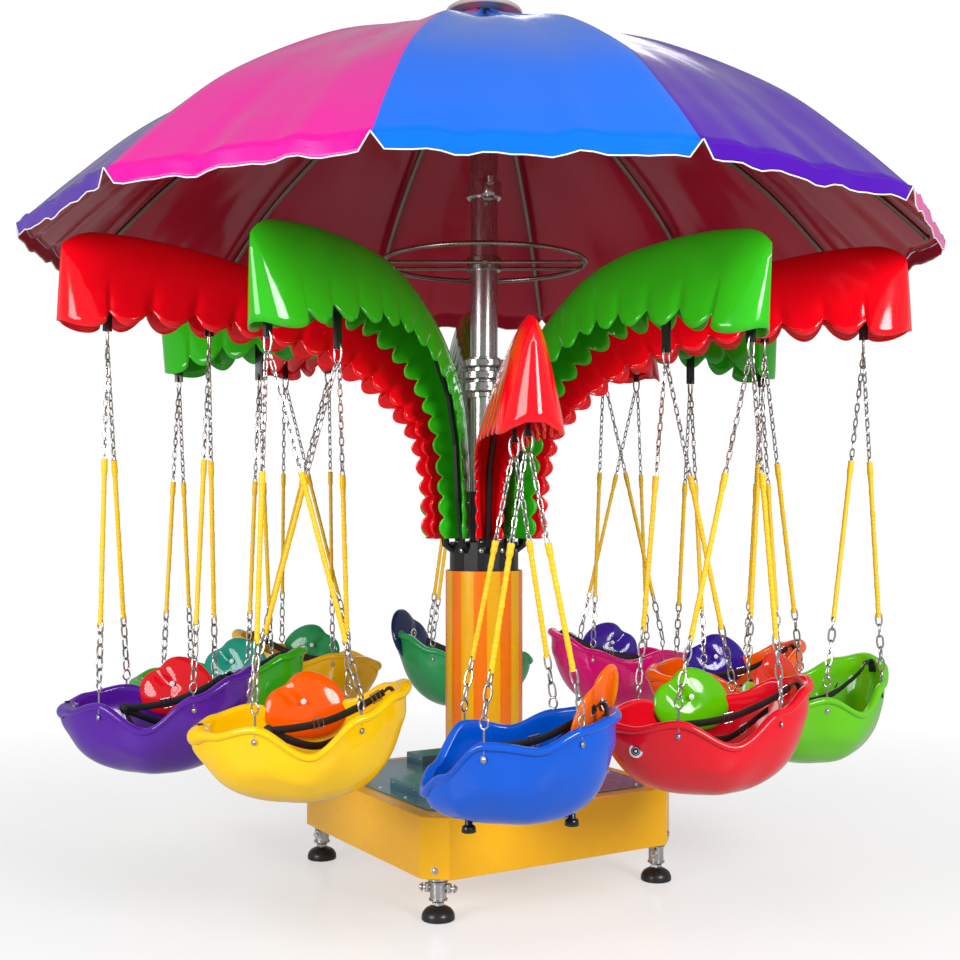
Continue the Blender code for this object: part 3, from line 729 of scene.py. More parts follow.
# Crank housing and cup: radius and height over the collar's middle
CRANK_HOUSING = ((0, -0.05), (0.018, -0.05), (0.018, -0.035), (0.024, -0.03), (0.024, 0.03), (0.017, 0.034),
                 (0.017, 0.045), (0, 0.045))
CRANK_CUP = ((0, 0.002), (0.013, 0.002), (0.018, 0.03), (0.0, 0.03))
TUBE_RADIUS = 0.0515
SLEEVE_TOP = 1.413
CRANK_HEIGHT = 2.54
HOOP_HEIGHT = 2.27


def raised(profile, height):
    """A profile of (radius, height) moved up."""
    return np.array(profile, dtype=float) + (0, height)


def build_mast():
    """Tubes, flanges and collars as turned profiles, and the hoop as a bar round a circle."""
    low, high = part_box("head_column")
    shaft = Solid()
    collar(shaft, 0.055, low[2], SLEEVE_TOP, steps=64, kind=1)
    for height in (1.27, 1.37):
        ring_of_bolts(shaft, 0.0545, height, 4, 0.007)
    lathe(shaft, [(0, 1.411), (0.050, 1.411), (0.050, high[2]), (0, high[2])], 64)
    piece("head_tube", shaft, "rotor", [steel(), dark_steel()], "silver_steel", 35.0, ["head_column"])

    drum = Solid()
    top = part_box("arm_spider")[0][2] + 0.166
    ring_of_bolts(drum, 0.1, top, 10, 0.007, False)
    ring_of_bolts(drum, 0.1285, top - 0.03, 10, 0.006)
    piece("hub_bolts", drum, "rotor", [steel()], "silver_steel")

    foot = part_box("flange_stack")[0][2]
    stack = Solid()
    lathe(stack, rounded(raised(FLANGES, foot)), 72)
    for radius, height in ((0.087, 0.038), (0.089, 0.081), (0.087, 0.127)):
        ring_of_bolts(stack, radius, foot + height, 8, 0.0055)
    piece("flanges", stack, "rotor", [steel()], "silver_steel", 35.0, ["flange_stack"])

    low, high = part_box("canopy_pole")
    pole = Solid()
    lathe(pole, [(0, low[2]), (high[0], low[2]), (high[0], high[2]), (0, high[2])], 64)
    piece("canopy_tube", pole, "rotor", [steel()], "silver_steel", 35.0, ["canopy_pole"])

    crank = Solid()
    collar(crank, 0.066, CRANK_HEIGHT - 0.03, CRANK_HEIGHT + 0.03, TUBE_RADIUS, 0.003)
    out = turn_z((0.085, 0, 0), bearing_turn(12.0))
    lathe(crank, rounded(raised(CRANK_HOUSING, CRANK_HEIGHT)), 32, out[:2])
    sweep(crank, [out * 0.7 + (0, 0, CRANK_HEIGHT), out + (0, 0, CRANK_HEIGHT)], 0.014, 14)
    lathe(crank, rounded(raised(CRANK_CUP, CRANK_HEIGHT)), 20, out[:2] * 1.33)
    piece("crank_clamp", crank, "rotor", [steel()], "silver_steel", 35.0, ["crank_collar"])

    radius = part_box("hoop_ring")[1][0] - 0.010
    hoop = Solid()
    sweep(hoop, loop((0, 0, HOOP_HEIGHT), (radius, 0, 0), (0, radius, 0), 96), 0.0088, 12, True)
    for offset in (0.067, -0.067):
        reach = math.sqrt(radius ** 2 - offset ** 2)
        ends = [(offset, -reach, HOOP_HEIGHT - 0.008), (offset, reach, HOOP_HEIGHT - 0.008)]
        sweep(hoop, turn_z(ends, bearing_turn(0.0)), 0.007, 12)
    collar(hoop, 0.064, HOOP_HEIGHT - 0.03, HOOP_HEIGHT + 0.02, TUBE_RADIUS)
    for bearing in (4.0, 184.0):
        spot, out = turn_z([(0.077, 0, HOOP_HEIGHT - 0.006), (1, 0, 0)], bearing_turn(bearing))
        bolt(hoop, spot, out, 0.009, 0.009)
    satin = material("hoop_steel", plated, srgb("a9a49c"), 0.25)
    piece("hoop", hoop, "rotor", [satin], "silver_steel", 35.0, ["hoop_ring"])


CANOPY_PROFILE = ((0.06, 3.199), (0.40, 3.065), (0.78, 2.925), (1.2, 2.69), (1.47, 2.468), (1.65, 2.295))
CROWN_HEIGHTS = (3.05, 3.10)
CAP_PROFILE = ((0, 0), (0.145, 0), (0.145, 0.012), (0.125, 0.024), (0.06, 0.036), (0, 0.036))


def corner_turn(index):
    """The turn of a rib, where two panels meet."""
    return bearing_turn(CORNER_BEARING + index * 360 / PANELS)


def panel_surface(index, nu=25, nv=49):
    """One gore: chords between two ribs, sagging as a sine, with creases that fade from crown and hem."""
    u = np.linspace(0, 1, nu)[:, None]
    ridge = curve_points(CANOPY_PROFILE, nv)
    r, z = ridge[None, :, 0], ridge[None, :, 1]
    start = math.radians(corner_turn(index))
    end = start + FULL_TURN / PANELS
    first = np.stack([r * math.cos(start), r * math.sin(start)], axis=-1)
    last = np.stack([r * math.cos(end), r * math.sin(end)], axis=-1)
    flat = first * (1 - u[..., None]) + last * u[..., None]
    arch = 4 * u * (1 - u)
    down = (r - r.min()) / (r.max() - r.min())
    rng = np.random.default_rng(40 + index)
    phase = rng.uniform(0, 6.28, 4)
    fan = np.sin(u * 19 + phase[0]) * np.exp(-down * 4.0) * 0.009
    hem = (np.sin(u * 25 + phase[1]) + 0.6 * np.sin(u * 43 + phase[2])) * np.exp((down - 1) * 7.0) * 0.006
    pull = np.sin(u * 9 + down * 7 + phase[3]) * 0.005
    edge_pull = (bump(u, 0.05, 0.05) + bump(u, 0.95, 0.05)) * np.sin(down * 26 + phase[2]) * 0.003
    sag = -0.020 * arch * np.sin(down * math.pi * 0.9)
    height = z + sag + arch ** 0.5 * (fan + hem + pull) + edge_pull * arch
    lift = 0.012 * arch * down ** 10
    return np.concatenate([flat, (height + lift)[..., None]], axis=-1)


def hem_rows(edge, index):
    """The hem: the panel's edge let down in steps, its ends rounded by a high power and its face waved."""
    n = len(edge)
    t = np.linspace(0, 1, n)
    out = unit(edge * (1, 1, 0))
    round_end = (1 - np.abs(2 * t - 1) ** 30) ** 0.5
    wave = 0.0012 * np.sin(t * 23 + index) + 0.0008 * np.sin(t * 41 + 2 * index)
    drop = 0.050 * round_end + 0.004 * np.sin(t * math.pi)
    rows = []
    for v in np.linspace(0, 1, 7):
        fall = np.column_stack([np.zeros(n), np.zeros(n), drop * v - 0.004])
        rows.append(edge + out * (0.003 + (wave * v + 0.004 * v)[:, None]) - fall)
    return np.array(rows)


def cloth_wall(obj, thickness, offset):
    """Give cloth its thickness; the lining's materials follow the three outer ones."""
    wall = obj.modifiers.new("Cloth", "SOLIDIFY")
    wall.thickness = thickness
    wall.offset = offset
    wall.material_offset = 3


def build_canopy():
    """Twelve gores with their hem and piping, the ribs under them, the crown collar and the cap."""
    props = looks()
    cloths = [material("cloth_violet", coated_cloth, props.violet, scaled(props.violet, 1.25)),
              material("cloth_magenta", coated_cloth, props.magenta, scaled(props.magenta, 1.1)),
              material("cloth_blue", coated_cloth, props.blue, scaled(props.blue, 1.15))]
    lining = material("cloth_lining", coated_cloth, props.lining, scaled(props.lining, 0.75))
    both_sides = cloths + [lining] * 3
    piping = material("white_piping", painted, srgb("f4f2f6"), 0.4)
    sheet, hem, trim = Solid(), Solid(), Solid()
    area = 0.0
    for index in range(PANELS):
        grid = panel_surface(index)
        kind = (index + 2) % 3
        a, b = np.diff(grid, axis=0)[:, :-1], np.diff(grid, axis=1)[:-1]
        area += np.linalg.norm(np.cross(a, b), axis=-1).sum()
        sheet.grid(grid[::-1], kind=kind)
        rows = hem_rows(grid[:, -1], index)
        hem.grid(rows[::-1], kind=kind)
        sweep(trim, rows[-1], 0.0022, 8)
    cover = piece("canopy_cloth", sheet, "rotor", both_sides, "canopy_cloth", 180.0, ["canopy_cover"],
                  weld=True)
    cloth_wall(cover, 0.0024, -1.0)
    flaps = piece("canopy_hem", hem, "rotor", both_sides, "canopy_cloth", 180.0)
    cloth_wall(flaps, 0.002, 0.0)
    cord = piece("hem_piping", trim, "rotor", [piping], "canopy_cloth", 60.0)

    ribs = Solid()
    collar(ribs, 0.078, *CROWN_HEIGHTS, TUBE_RADIUS, 0.003)
    line = curve_points(CANOPY_PROFILE[1:], 30)
    slope = unit(np.gradient(line, axis=0))
    under = line + np.column_stack([slope[:, 1], -slope[:, 0]]) * 0.031
    under = np.vstack([[(0.066, 3.075), (0.20, 3.085)], under[2:-1]])
    path = curve_points(under, 40)
    upright = np.column_stack([path[:, 0], np.zeros(len(path)), path[:, 1]])
    for index in range(PANELS):
        bar = turn_z(upright, corner_turn(index))
        sweep(ribs, bar, 0.0105, 12)
        ball(ribs, bar[-1], (0.013, 0.013, 0.013), rows=8, cols=12)
    rib_grey = material("rib_grey", plated, srgb("8c857b"), 0.32)
    piece("rib_frame", ribs, "rotor", [rib_grey], "rib_steel", 40.0, ["canopy_ribs"])

    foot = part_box("top_cap")[0][2]
    cap = Solid()
    lathe(cap, rounded(raised(CAP_PROFILE, foot), 0.004), 72)
    ring_of_bolts(cap, 0.11, foot + 0.0275, 6, 0.006, False, 1)
    cap_plastic = material("cap_plastic", painted, srgb("b9b4aa"), 0.3)
    piece("canopy_cap", cap, "rotor", [cap_plastic, steel()], "cap_grey", 35.0, ["top_cap"])


# Fronds: half width and depth along the spine, and the spines as (reach, height)
LEAF_HALF_WIDTH = ((0.0, 0.048), (0.16, 0.054), (0.30, 0.068), (0.5, 0.085), (0.85, 0.092))
LEAF_DEPTH = ((0.0, 0.11), (0.2, 0.13), (0.4, 0.18), (0.6, 0.235), (0.8, 0.29), (1.0, 0.335))
RED_SPINE = ((0.12, 1.24), (0.122, 1.45), (0.17, 1.68), (0.31, 1.88), (0.52, 2.04), (0.77, 2.15),
             (1.02, 2.22), (1.27, 2.26), (1.51, 2.27))
GREEN_SPINE = ((0.12, 1.24), (0.122, 1.50), (0.17, 1.755), (0.30, 1.96), (0.49, 2.11), (0.66, 2.18),
               (0.86, 2.21), (1.08, 2.215), (1.32, 2.19))
FRONT_SPINE = ((0.12, 1.24), (0.122, 1.35), (0.155, 1.49), (0.27, 1.61), (0.46, 1.70), (0.72, 1.765),
               (1.0, 1.815), (1.26, 1.85), (1.50, 1.87))
TIP_START = 0.93


def frond_points(spine, shift, stations=250, across=37):
    """Frond skin: at each place along the spine a folded section, its lower edges cut in round lobes.

    The lobes are powers of a sine along the spine, longer towards the tip, with a groove up the lower part of
    the side from each notch. The last part rounds over like a prow.
    """
    line = curve_points(spine, stations)
    slope = unit(np.gradient(line, axis=0))
    up = np.column_stack([-slope[:, 1], slope[:, 0]])
    f = np.linspace(0, 1, stations)
    length = np.linalg.norm(np.diff(line, axis=0), axis=1).sum()
    u = np.clip((f - TIP_START) / (1 - TIP_START), 0, 1)
    wide = np.interp(f, *zip(*LEAF_HALF_WIDTH)) * np.sqrt(1 - 0.94 * u ** 2)
    deep = np.interp(f, *zip(*LEAF_DEPTH)) * (1 - 0.10 * u ** 3)
    lobe = looks().lobe_length * (0.62 + 1.0 * f ** 1.5)
    count = np.cumsum(length / stations / lobe) + shift
    count -= count[np.argmax(f >= TIP_START)]
    wave = np.abs(np.sin(math.pi * count)) ** 0.7
    wave = np.where(f > TIP_START, 1.0 - 0.25 * (1 - u) ** 8, wave)
    notch = bump(count - np.round(count), 0.0, 0.13) * (f < TIP_START)
    t = np.linspace(-1, 1, across)
    reach = np.abs(t)[None, :]
    cut = 1 - 0.22 * (1 - wave[:, None]) * reach ** 6
    drop = deep[:, None] * reach ** 1.6 * cut
    pillow = (0.010 * (wave[:, None] - 0.6) - 0.009 * notch[:, None]) * smooth_step((reach - 0.58) / 0.42)
    thin = wide[:, None] / 0.09
    y = np.sign(t)[None, :] * (wide[:, None] * reach ** 0.78 + pillow * thin)
    rib = 0.004 * bump(reach, 0.0, 0.10) - 0.045 * u[:, None] ** 3 * (1 - reach) ** 1.2
    base = line[:, None, :] - up[:, None, :] * (drop - rib)[..., None]
    return np.stack([base[..., 0], y, base[..., 1]], axis=-1)


def frond_spine(index):
    """The front frond hangs low, and the others are red and green in turn."""
    if index == 0:
        return FRONT_SPINE
    return RED_SPINE if index % 2 == 0 else GREEN_SPINE


def tip_wall(tip):
    """The wall that closes a frond's end: its last section folded shut through a slightly rounded middle."""
    half = len(tip) // 2
    left, right = tip[:half + 1], tip[half:][::-1]
    middle = (left + right) / 2 + (0.012, 0, 0) * np.linspace(1, 0, half + 1)[:, None] ** 0.5
    return np.stack([left, middle, right])


def build_fronds():
    """Ten hollow fronds turned to their arms, red and green in turn."""
    props = looks()
    colours = (("leaf_red", material("frond_red", moulded, props.red)),
               ("leaf_green", material("frond_green", moulded, props.green)))
    for index in range(ARMS):
        skin = frond_points(frond_spine(index), 0.15 * (index % 3))
        frond = Solid()
        for part in (skin, tip_wall(skin[-1])):
            frond.grid(turn_z(part, bearing_turn(arm_bearing(index))))
        slot, plastic = colours[index % 2]
        obj = piece(f"frond_{index + 1}", frond, "rotor", [plastic], slot, 70.0, [f"leaf_{index + 1}"],
                    weld=True)
        wall = obj.modifiers.new("Wall", "SOLIDIFY")
        wall.thickness = 0.0045
        wall.offset = -1.0
        wall.use_even_offset = True


# Seats: rim heights at twelve angles round from the nose, for the buckets and for the open cradle
BOAT = (0.66, 0.67, 0.70, 0.64, 0.725, 0.78, 0.80, 0.78, 0.725, 0.68, 0.72, 0.70)
CRADLE = (0.545, 0.60, 0.70, 0.715, 0.735, 0.75, 0.755, 0.75, 0.735, 0.715, 0.71, 0.60)
SeatStyle = namedtuple("SeatStyle", ["nose_bearing", "shell", "insert", "half_length", "half_width",
                                     "insert_at_tail", "leg_dip", "knob", "eye"])
SEAT_STYLES = tuple(SeatStyle(*row) for row in (
    (-80.0, (0.0, 0.095, 0.62), (0.95, 0.13, 0.0), 0.275, 0.205, True, 0.030, 0.0, False),
    (-76.0, (0.75, 0.004, 0.016), (0.10, 0.50, 0.0), 0.335, 0.205, False, 0.012, 0.5, True),
    (-50.0, (0.13, 0.56, 0.005), (0.72, 0.03, 0.01), 0.315, 0.205, False, 0.0, 0.2, False),
    (-80.0, (0.92, 0.11, 0.0), (0.03, 0.01, 0.30), 0.315, 0.205, False, 0.0, 0.6, True),
    (95.0, (0.72, 0.004, 0.19), (0.05, 0.02, 0.34), 0.315, 0.205, False, 0.0, 0.8, False),
    (95.0, (0.02, 0.32, 0.10), (0.01, 0.02, 0.09), 0.300, 0.205, True, 0.0, 0.2, False),
    (84.0, (0.92, 0.50, 0.0), (0.02, 0.32, 0.10), 0.315, 0.205, False, 0.0, 0.4, False),
    (-95.0, (0.03, 0.36, 0.005), (0.01, 0.30, 0.22), 0.335, 0.205, False, 0.012, 0.5, False),
    (-90.0, (0.085, 0.010, 0.32), (0.70, 0.006, 0.012), 0.315, 0.205, False, 0.018, 0.8, False),
    (-78.0, (1.0, 0.58, 0.0), (0.90, 0.10, 0.0), 0.315, 0.205, False, 0.022, 1.0, False),
))
CRADLE_SEAT = SEAT_STYLES[0]
DIP_ANGLES = (92.0, 268.0)
SEAT_BOTTOM = 0.455
HOOK_HEIGHT = 0.775
HOOK_ANGLE = 60.0
INSERT_INSET = 0.026
FIN_TURN = 52.0
RUBBER_FOOT = ((0, -0.030), (0.022, -0.030), (0.019, -0.012), (0.011, -0.008), (0.011, 0.012), (0, 0.012))


def rim_height(angle, style):
    """Height of the rim at angles from the nose, eased between the listed heights, with dips for the legs."""
    angle = np.asarray(angle, dtype=float) % 360.0
    step = angle / 30.0
    i = step.astype(int) % 12
    ease = smooth_step(step - np.floor(step))
    table = np.array(CRADLE if style is CRADLE_SEAT else BOAT)
    dips = bump(angle, DIP_ANGLES[0], 17) + bump(angle, DIP_ANGLES[1], 17)
    head = 0.035 * style.knob * style.eye * about_nose(angle, 26)
    return table[i] * (1 - ease) + table[(i + 1) % 12] * ease - style.leg_dip * dips + head


def about_nose(angle, width):
    """A bell curve over the nose, where the angle is 0 and 360."""
    return bump(angle, 0, width) + bump(angle, 360, width)


def shell_point(style, angle, down, grow=0.0):
    """A point of a seat's face: an oval at the rim that closes to the keel like a bowl, grown outward."""
    a, d = np.radians(angle), np.radians(down)
    shrink = np.cos(d) ** (0.62 if style is CRADLE_SEAT else 0.74)
    top = rim_height(angle, style)
    pinch = 1.0 - 0.16 * np.maximum(np.cos(a), 0.0) ** 2
    x = (style.half_length + grow) * np.cos(a) * shrink
    y = (style.half_width + grow) * np.sin(a) * shrink * pinch
    z = top - (top - SEAT_BOTTOM + grow) * np.sin(d)
    return np.stack(np.broadcast_arrays(x, y, z), axis=-1)


def seat_place(index):
    """Where a seat stands: its centre on the ride and its turn about the upright."""
    outer = np.array(JOINTS[f"swing_{index + 1}"]["pos_m"])
    inner = np.array(JOINTS[f"follow_{index + 1}"]["pos_m"])
    centre = (outer + inner) / 2
    return centre * (1, 1, 0), bearing_turn(SEAT_STYLES[index].nose_bearing)


def insert_side(style):
    """Side of the seat that the insert stands on, away from the view."""
    return -1.0 if math.cos(math.radians(style.nose_bearing + 90.0)) > 0 else 1.0


def hooks(index):
    """The four hook places of a seat, outer pair first, each pair sorted along the arm's side direction."""
    style = SEAT_STYLES[index]
    yaw = style.nose_bearing - arm_bearing(index)
    spots = []
    for angle in (HOOK_ANGLE, -HOOK_ANGLE, 180 - HOOK_ANGLE, 180 + HOOK_ANGLE):
        point = shell_point(style, angle, 0.0) * 0.985
        spots.append(turn_z((point[0], point[1], 0.0), yaw))
    nose, tail, plus, minus = spots[:2], spots[2:], [spots[0], spots[2]], [spots[1], spots[3]]
    lengthwise = abs(sum(nose)[0] - sum(tail)[0])
    crosswise = abs(sum(plus)[0] - sum(minus)[0])
    pairs = (nose, tail) if lengthwise > crosswise else (plus, minus)
    outer, inner = sorted(pairs, key=lambda pair: -(pair[0][0] + pair[1][0]))
    return [sorted(pair, key=lambda spot: spot[1]) for pair in (outer, inner)]


def seat_skin(style, around=120):
    """The moulded shell as one closed surface: outer wall up, rolled rim over, inner wall down.

    The outer wall is the bowl grown by bell-shaped beads and a soft flute. The rim is an arc about its edge.
    """
    angle = np.linspace(0, 360, around, endpoint=False)[:, None]
    a = np.radians(angle)
    rows = []
    flank = bump(angle, 62, 26) + bump(angle, 298, 26)
    beak = style.knob * about_nose(angle, 14)
    tail = bump(angle, 180, 38)
    for down in np.linspace(88, 6, 26):
        side_bead = 0.006 * flank * bump(down, 30, 9)
        nose_bead = 0.024 * beak * bump(down, 6, 14)
        tail_bead = 0.006 * tail * bump(down, 14, 5)
        flute = 0.005 * np.sin(3 * a) * bump(down, 42, 18)
        rows.append(shell_point(style, angle, down, side_bead + nose_bead + tail_bead + flute))
    rim = shell_point(style, angle, 0.0)
    out = np.stack([np.cos(a), np.sin(a), np.zeros_like(a)], axis=-1)
    up = np.array([0.0, 0.0, 1.0])
    lip = 0.0145 + (0.007 * tail + 0.004 * about_nose(angle, 20) + 0.022 * beak)[..., None]
    for tilt in np.radians(np.linspace(-75, 175, 13)):
        rows.append(rim + out * lip * math.cos(tilt) + up * lip * math.sin(tilt) * 0.85 - out * 0.004)
    for down in np.linspace(8, 88, 22):
        rows.append(shell_point(style, angle, down, -0.011))
    return np.concatenate(rows, axis=1)


def insert_skin():
    """A smooth dome with a softly lobed outline, dipped on one shoulder, with a valley down from the dip."""
    across = np.linspace(0, math.pi, 22)[None, :]
    a = circle(64)[:, None]
    radius = np.sin(across) ** 0.8
    dip = bump(np.degrees(a), 48.0, 20.0)
    lobe = 1.0 + 0.08 * np.cos(2 * a) - 0.04 * np.sin(3 * a) - 0.16 * dip
    x = 0.122 * radius * np.cos(a) * lobe
    z = 0.112 * radius * np.sin(a) * lobe
    along = (x + z) * 0.7
    valley = 0.75 * bump(x - z, 0.02, 0.030) * smooth_step((along + 0.03) / 0.08)
    y = np.cos(across) * 0.027 * (1 - valley)
    return np.stack([x, y, z], axis=-1)


def seat_frame(index):
    """Two functions that carry a seat's own places, and its own directions, to the ride."""
    centre, turn = seat_place(index)

    def put(points):
        return turn_z(points, turn) + centre

    def aim(direction):
        return turn_z(direction, turn)

    return put, aim


def seat_hook(details, where, outward, rim):
    """An eye over the rim, its stem through the rim and a bolt below."""
    tangent = np.cross((0, 0, 1), outward)
    eye = loop(where + (0, 0, HOOK_HEIGHT), tangent * 0.013, (0, 0, 0.017), 18) - (0, 0, 0.012)
    sweep(details, eye, 0.0032, 8, True, up=outward)
    stem = [where + (0, 0, rim - 0.02), where + (0, 0, max(HOOK_HEIGHT - 0.03, rim + 0.012))]
    sweep(details, stem, 0.0042, 8)
    bolt(details, where + outward * 0.004 + (0, 0, rim - 0.035), outward, 0.0065, 0.004)


def build_seats():
    """Ten shells with their inserts, hooks and harness."""
    for index, style in enumerate(SEAT_STYLES):
        name = index + 1
        body = f"chair_{name}"
        slot = f"seat_{name}"
        centre, turn = seat_place(index)
        put, aim = seat_frame(index)
        skin = seat_skin(style)
        shell, insert, details = Solid(), Solid(), Solid()
        shell.add(put(skin), grid_faces(*skin.shape[:2], True, False)[:, ::-1])
        low, high = put(skin[:, 0]), put(skin[:, -1])
        shell.fan(low, low.mean(axis=0), flip=True)
        shell.fan(high, high.mean(axis=0))
        main = material(f"shell_{name}", moulded, style.shell)
        second = material(f"insert_{name}", moulded, style.insert)
        piece(f"seat_shell_{name}", shell, body, [main], slot, 60.0, [f"seat_{name}"], weld=True)

        dome = insert_skin()
        if style.insert_at_tail:
            dome = turn_z(dome * (1.0, 0.8, 1.2), FIN_TURN)
            lean = (-0.35, 0, 0)
            place = (INSERT_INSET - style.half_length + 0.035, 0.02, 0.77)
        else:
            side = insert_side(style)
            lean = (0, 0.18 * side, 0)
            place = (-0.02, side * (style.half_width - INSERT_INSET), 0.718)
        dome = dome + dome[..., 2:] * lean + place
        insert.add(put(dome), grid_faces(*dome.shape[:2], True, False))
        piece(f"seat_insert_{name}", insert, body, [second], slot, 60.0, weld=True)

        for spot in sum(hooks(index), []):
            where = turn_z(spot, bearing_turn(arm_bearing(index))) + centre
            local = turn_z(where - centre, -turn)
            angle = math.degrees(math.atan2(local[1] / style.half_width, local[0] / style.half_length))
            seat_hook(details, where, unit(where - centre), float(rim_height(angle, style)))
        piece(f"seat_hooks_{name}", details, body, [steel()], "silver_steel", 50.0)
        build_harness(name, style, put, aim)


LAP_UP = (0, 0.45, 1)
STRAP_WIDTH = 0.027
STRAP_THICKNESS = 0.003


def build_harness(name, style, put, aim):
    """Lap strap from the nose end to the tail, a crotch strap down to the keel, and bright buckles."""
    side = 1.0 if style.insert_at_tail else 0.6
    nose = np.array([0.11, 0.05 * side, 0.675])
    tail = np.array([-style.half_length + 0.075, 0.08 * side, 0.785])
    middle = (nose + tail) / 2 - (0, -0.02, 0.028)
    lap = curve_points([nose, (nose + middle) / 2 - (0, 0, 0.004), middle,
                        (middle + tail) / 2 - (0, 0, 0.006), tail], 40)
    lap[:, 1] += 0.006 * np.sin(np.linspace(0, 9, 40))
    keel = curve_points([nose + (0.002, 0.004, 0.0), (0.08, 0.02, 0.61), (0.04, 0.0, 0.54),
                         (0.03, 0.0, 0.485)], 20)
    other = np.array([-style.half_length + 0.10, -0.09 * side, 0.70])
    second = curve_points([nose - (0.01, 0, 0.01), (nose + other) / 2 - (0, 0, 0.07), other], 30)
    bend = tail + np.array([[0, 0, 0], [-0.014, 0.006, 0.012], [-0.026, 0.010, 0.004], [-0.03, 0.012, -0.03]])

    strap = Solid()
    ribbon(strap, put(lap), STRAP_WIDTH, STRAP_THICKNESS, aim(LAP_UP))
    ribbon(strap, put(keel), 0.030, STRAP_THICKNESS, aim((0, 1, 0)))
    ribbon(strap, put(second), STRAP_WIDTH, STRAP_THICKNESS, aim(LAP_UP))
    ball(strap, put(nose), (0.016, 0.016, 0.018), cols=14)
    ribbon(strap, put(curve_points(bend, 14)), STRAP_WIDTH, 0.006, aim((0, 1, 0.4)))
    woven = material("black_webbing", webbing)
    piece(f"harness_{name}", strap, f"chair_{name}", [woven], f"seat_{name}", 50.0)

    metal = Solid()
    for line, share in ((lap, 0.42), (lap, 0.93), (second, 0.70)):
        k = int(share * (len(line) - 1))
        at, along = line[k], unit(line[k] - line[k - 2])
        upright = unit(np.array(LAP_UP) - along * np.dot(LAP_UP, along))
        for width in (-0.015, 0.0, 0.015):
            bar = np.array([at + along * width - upright * 0.018, at + along * width + upright * 0.018])
            sweep(metal, put(bar), 0.0022, 8, up=(0, 1, 0.2))
        for height in (-0.018, 0.018):
            bar = np.array([at - along * 0.016 + upright * height, at + along * 0.016 + upright * height])
            sweep(metal, put(bar), 0.0022, 8)
    piece(f"buckles_{name}", metal, f"chair_{name}", [steel()], "silver_steel", 50.0)


# An eye's discs: kind of paint, size, and how far each stands out
EYE_DISCS = ((0, 0.0215, 0.0), (1, 0.0145, 0.0022), (0, 0.0060, 0.0042))


def eye_spots(style):
    """Places and directions of a seat's eyes, on the nose's cheeks and on both faces of a tail fin."""
    spots = []
    if style.eye:
        for angle in (33.0, 327.0):
            here = shell_point(style, angle, 16.0, 0.001)
            spots.append((here, unit(here * (0.25, 1, 0))))
    if style.insert_at_tail:
        for side in (-1.0, 1.0):
            facing = turn_z((0, side, 0), FIN_TURN)
            middle = np.array([INSERT_INSET - style.half_length + 0.030, 0.02, 0.79])
            spots.append((middle + facing * 0.0215, facing))
    return spots


def build_seat_trim():
    """Eyes, nose slots painted as flat black discs of shade, insert bolts and the cradle's rubber feet."""
    white = material("eye_white", painted, (0.80, 0.80, 0.80), 0.2)
    black = material("eye_black", painted, (0.006, 0.006, 0.007), 0.2)
    for index, style in enumerate(SEAT_STYLES):
        put, aim = seat_frame(index)
        trim = Solid()
        for here, facing in eye_spots(style):
            for kind, size, lift in EYE_DISCS:
                bolt(trim, put(here + facing * lift), aim(facing), size / 1.5, 0.0035, kind)
        # Nose slot: no hole is cut; a flat black disc on top of the nose rim is painted shade for the slot's
        # dark inside
        if style.knob >= 0.8:
            height = float(rim_height(0.0, style)) + 0.0175 + 0.019 * style.knob
            ball(trim, put((style.half_length - 0.004, 0, height)), (0.011, 0.007, 0.003), kind=1)
        if style is CRADLE_SEAT:
            for x, angle in ((-0.15, 180.0), (0.15, 0.0)):
                keel = float(shell_point(style, angle, 75.0)[2])
                lathe(trim, rounded(raised(RUBBER_FOOT, keel)), 20, put((x, 0, 0))[:2], 1)
        if not style.insert_at_tail:
            side = insert_side(style)
            place = (-0.01, side * (style.half_width - INSERT_INSET - 0.030), 0.735)
            bolt(trim, put(place), aim((0, -side, 0.2)), 0.006)
        piece(f"seat_trim_{index + 1}", trim, f"chair_{index + 1}", [white, black], f"seat_{index + 1}", 50.0)


# Share of a hanger's length where the sleeve starts and ends
SLEEVE_SPAN = (0.345, 0.835)


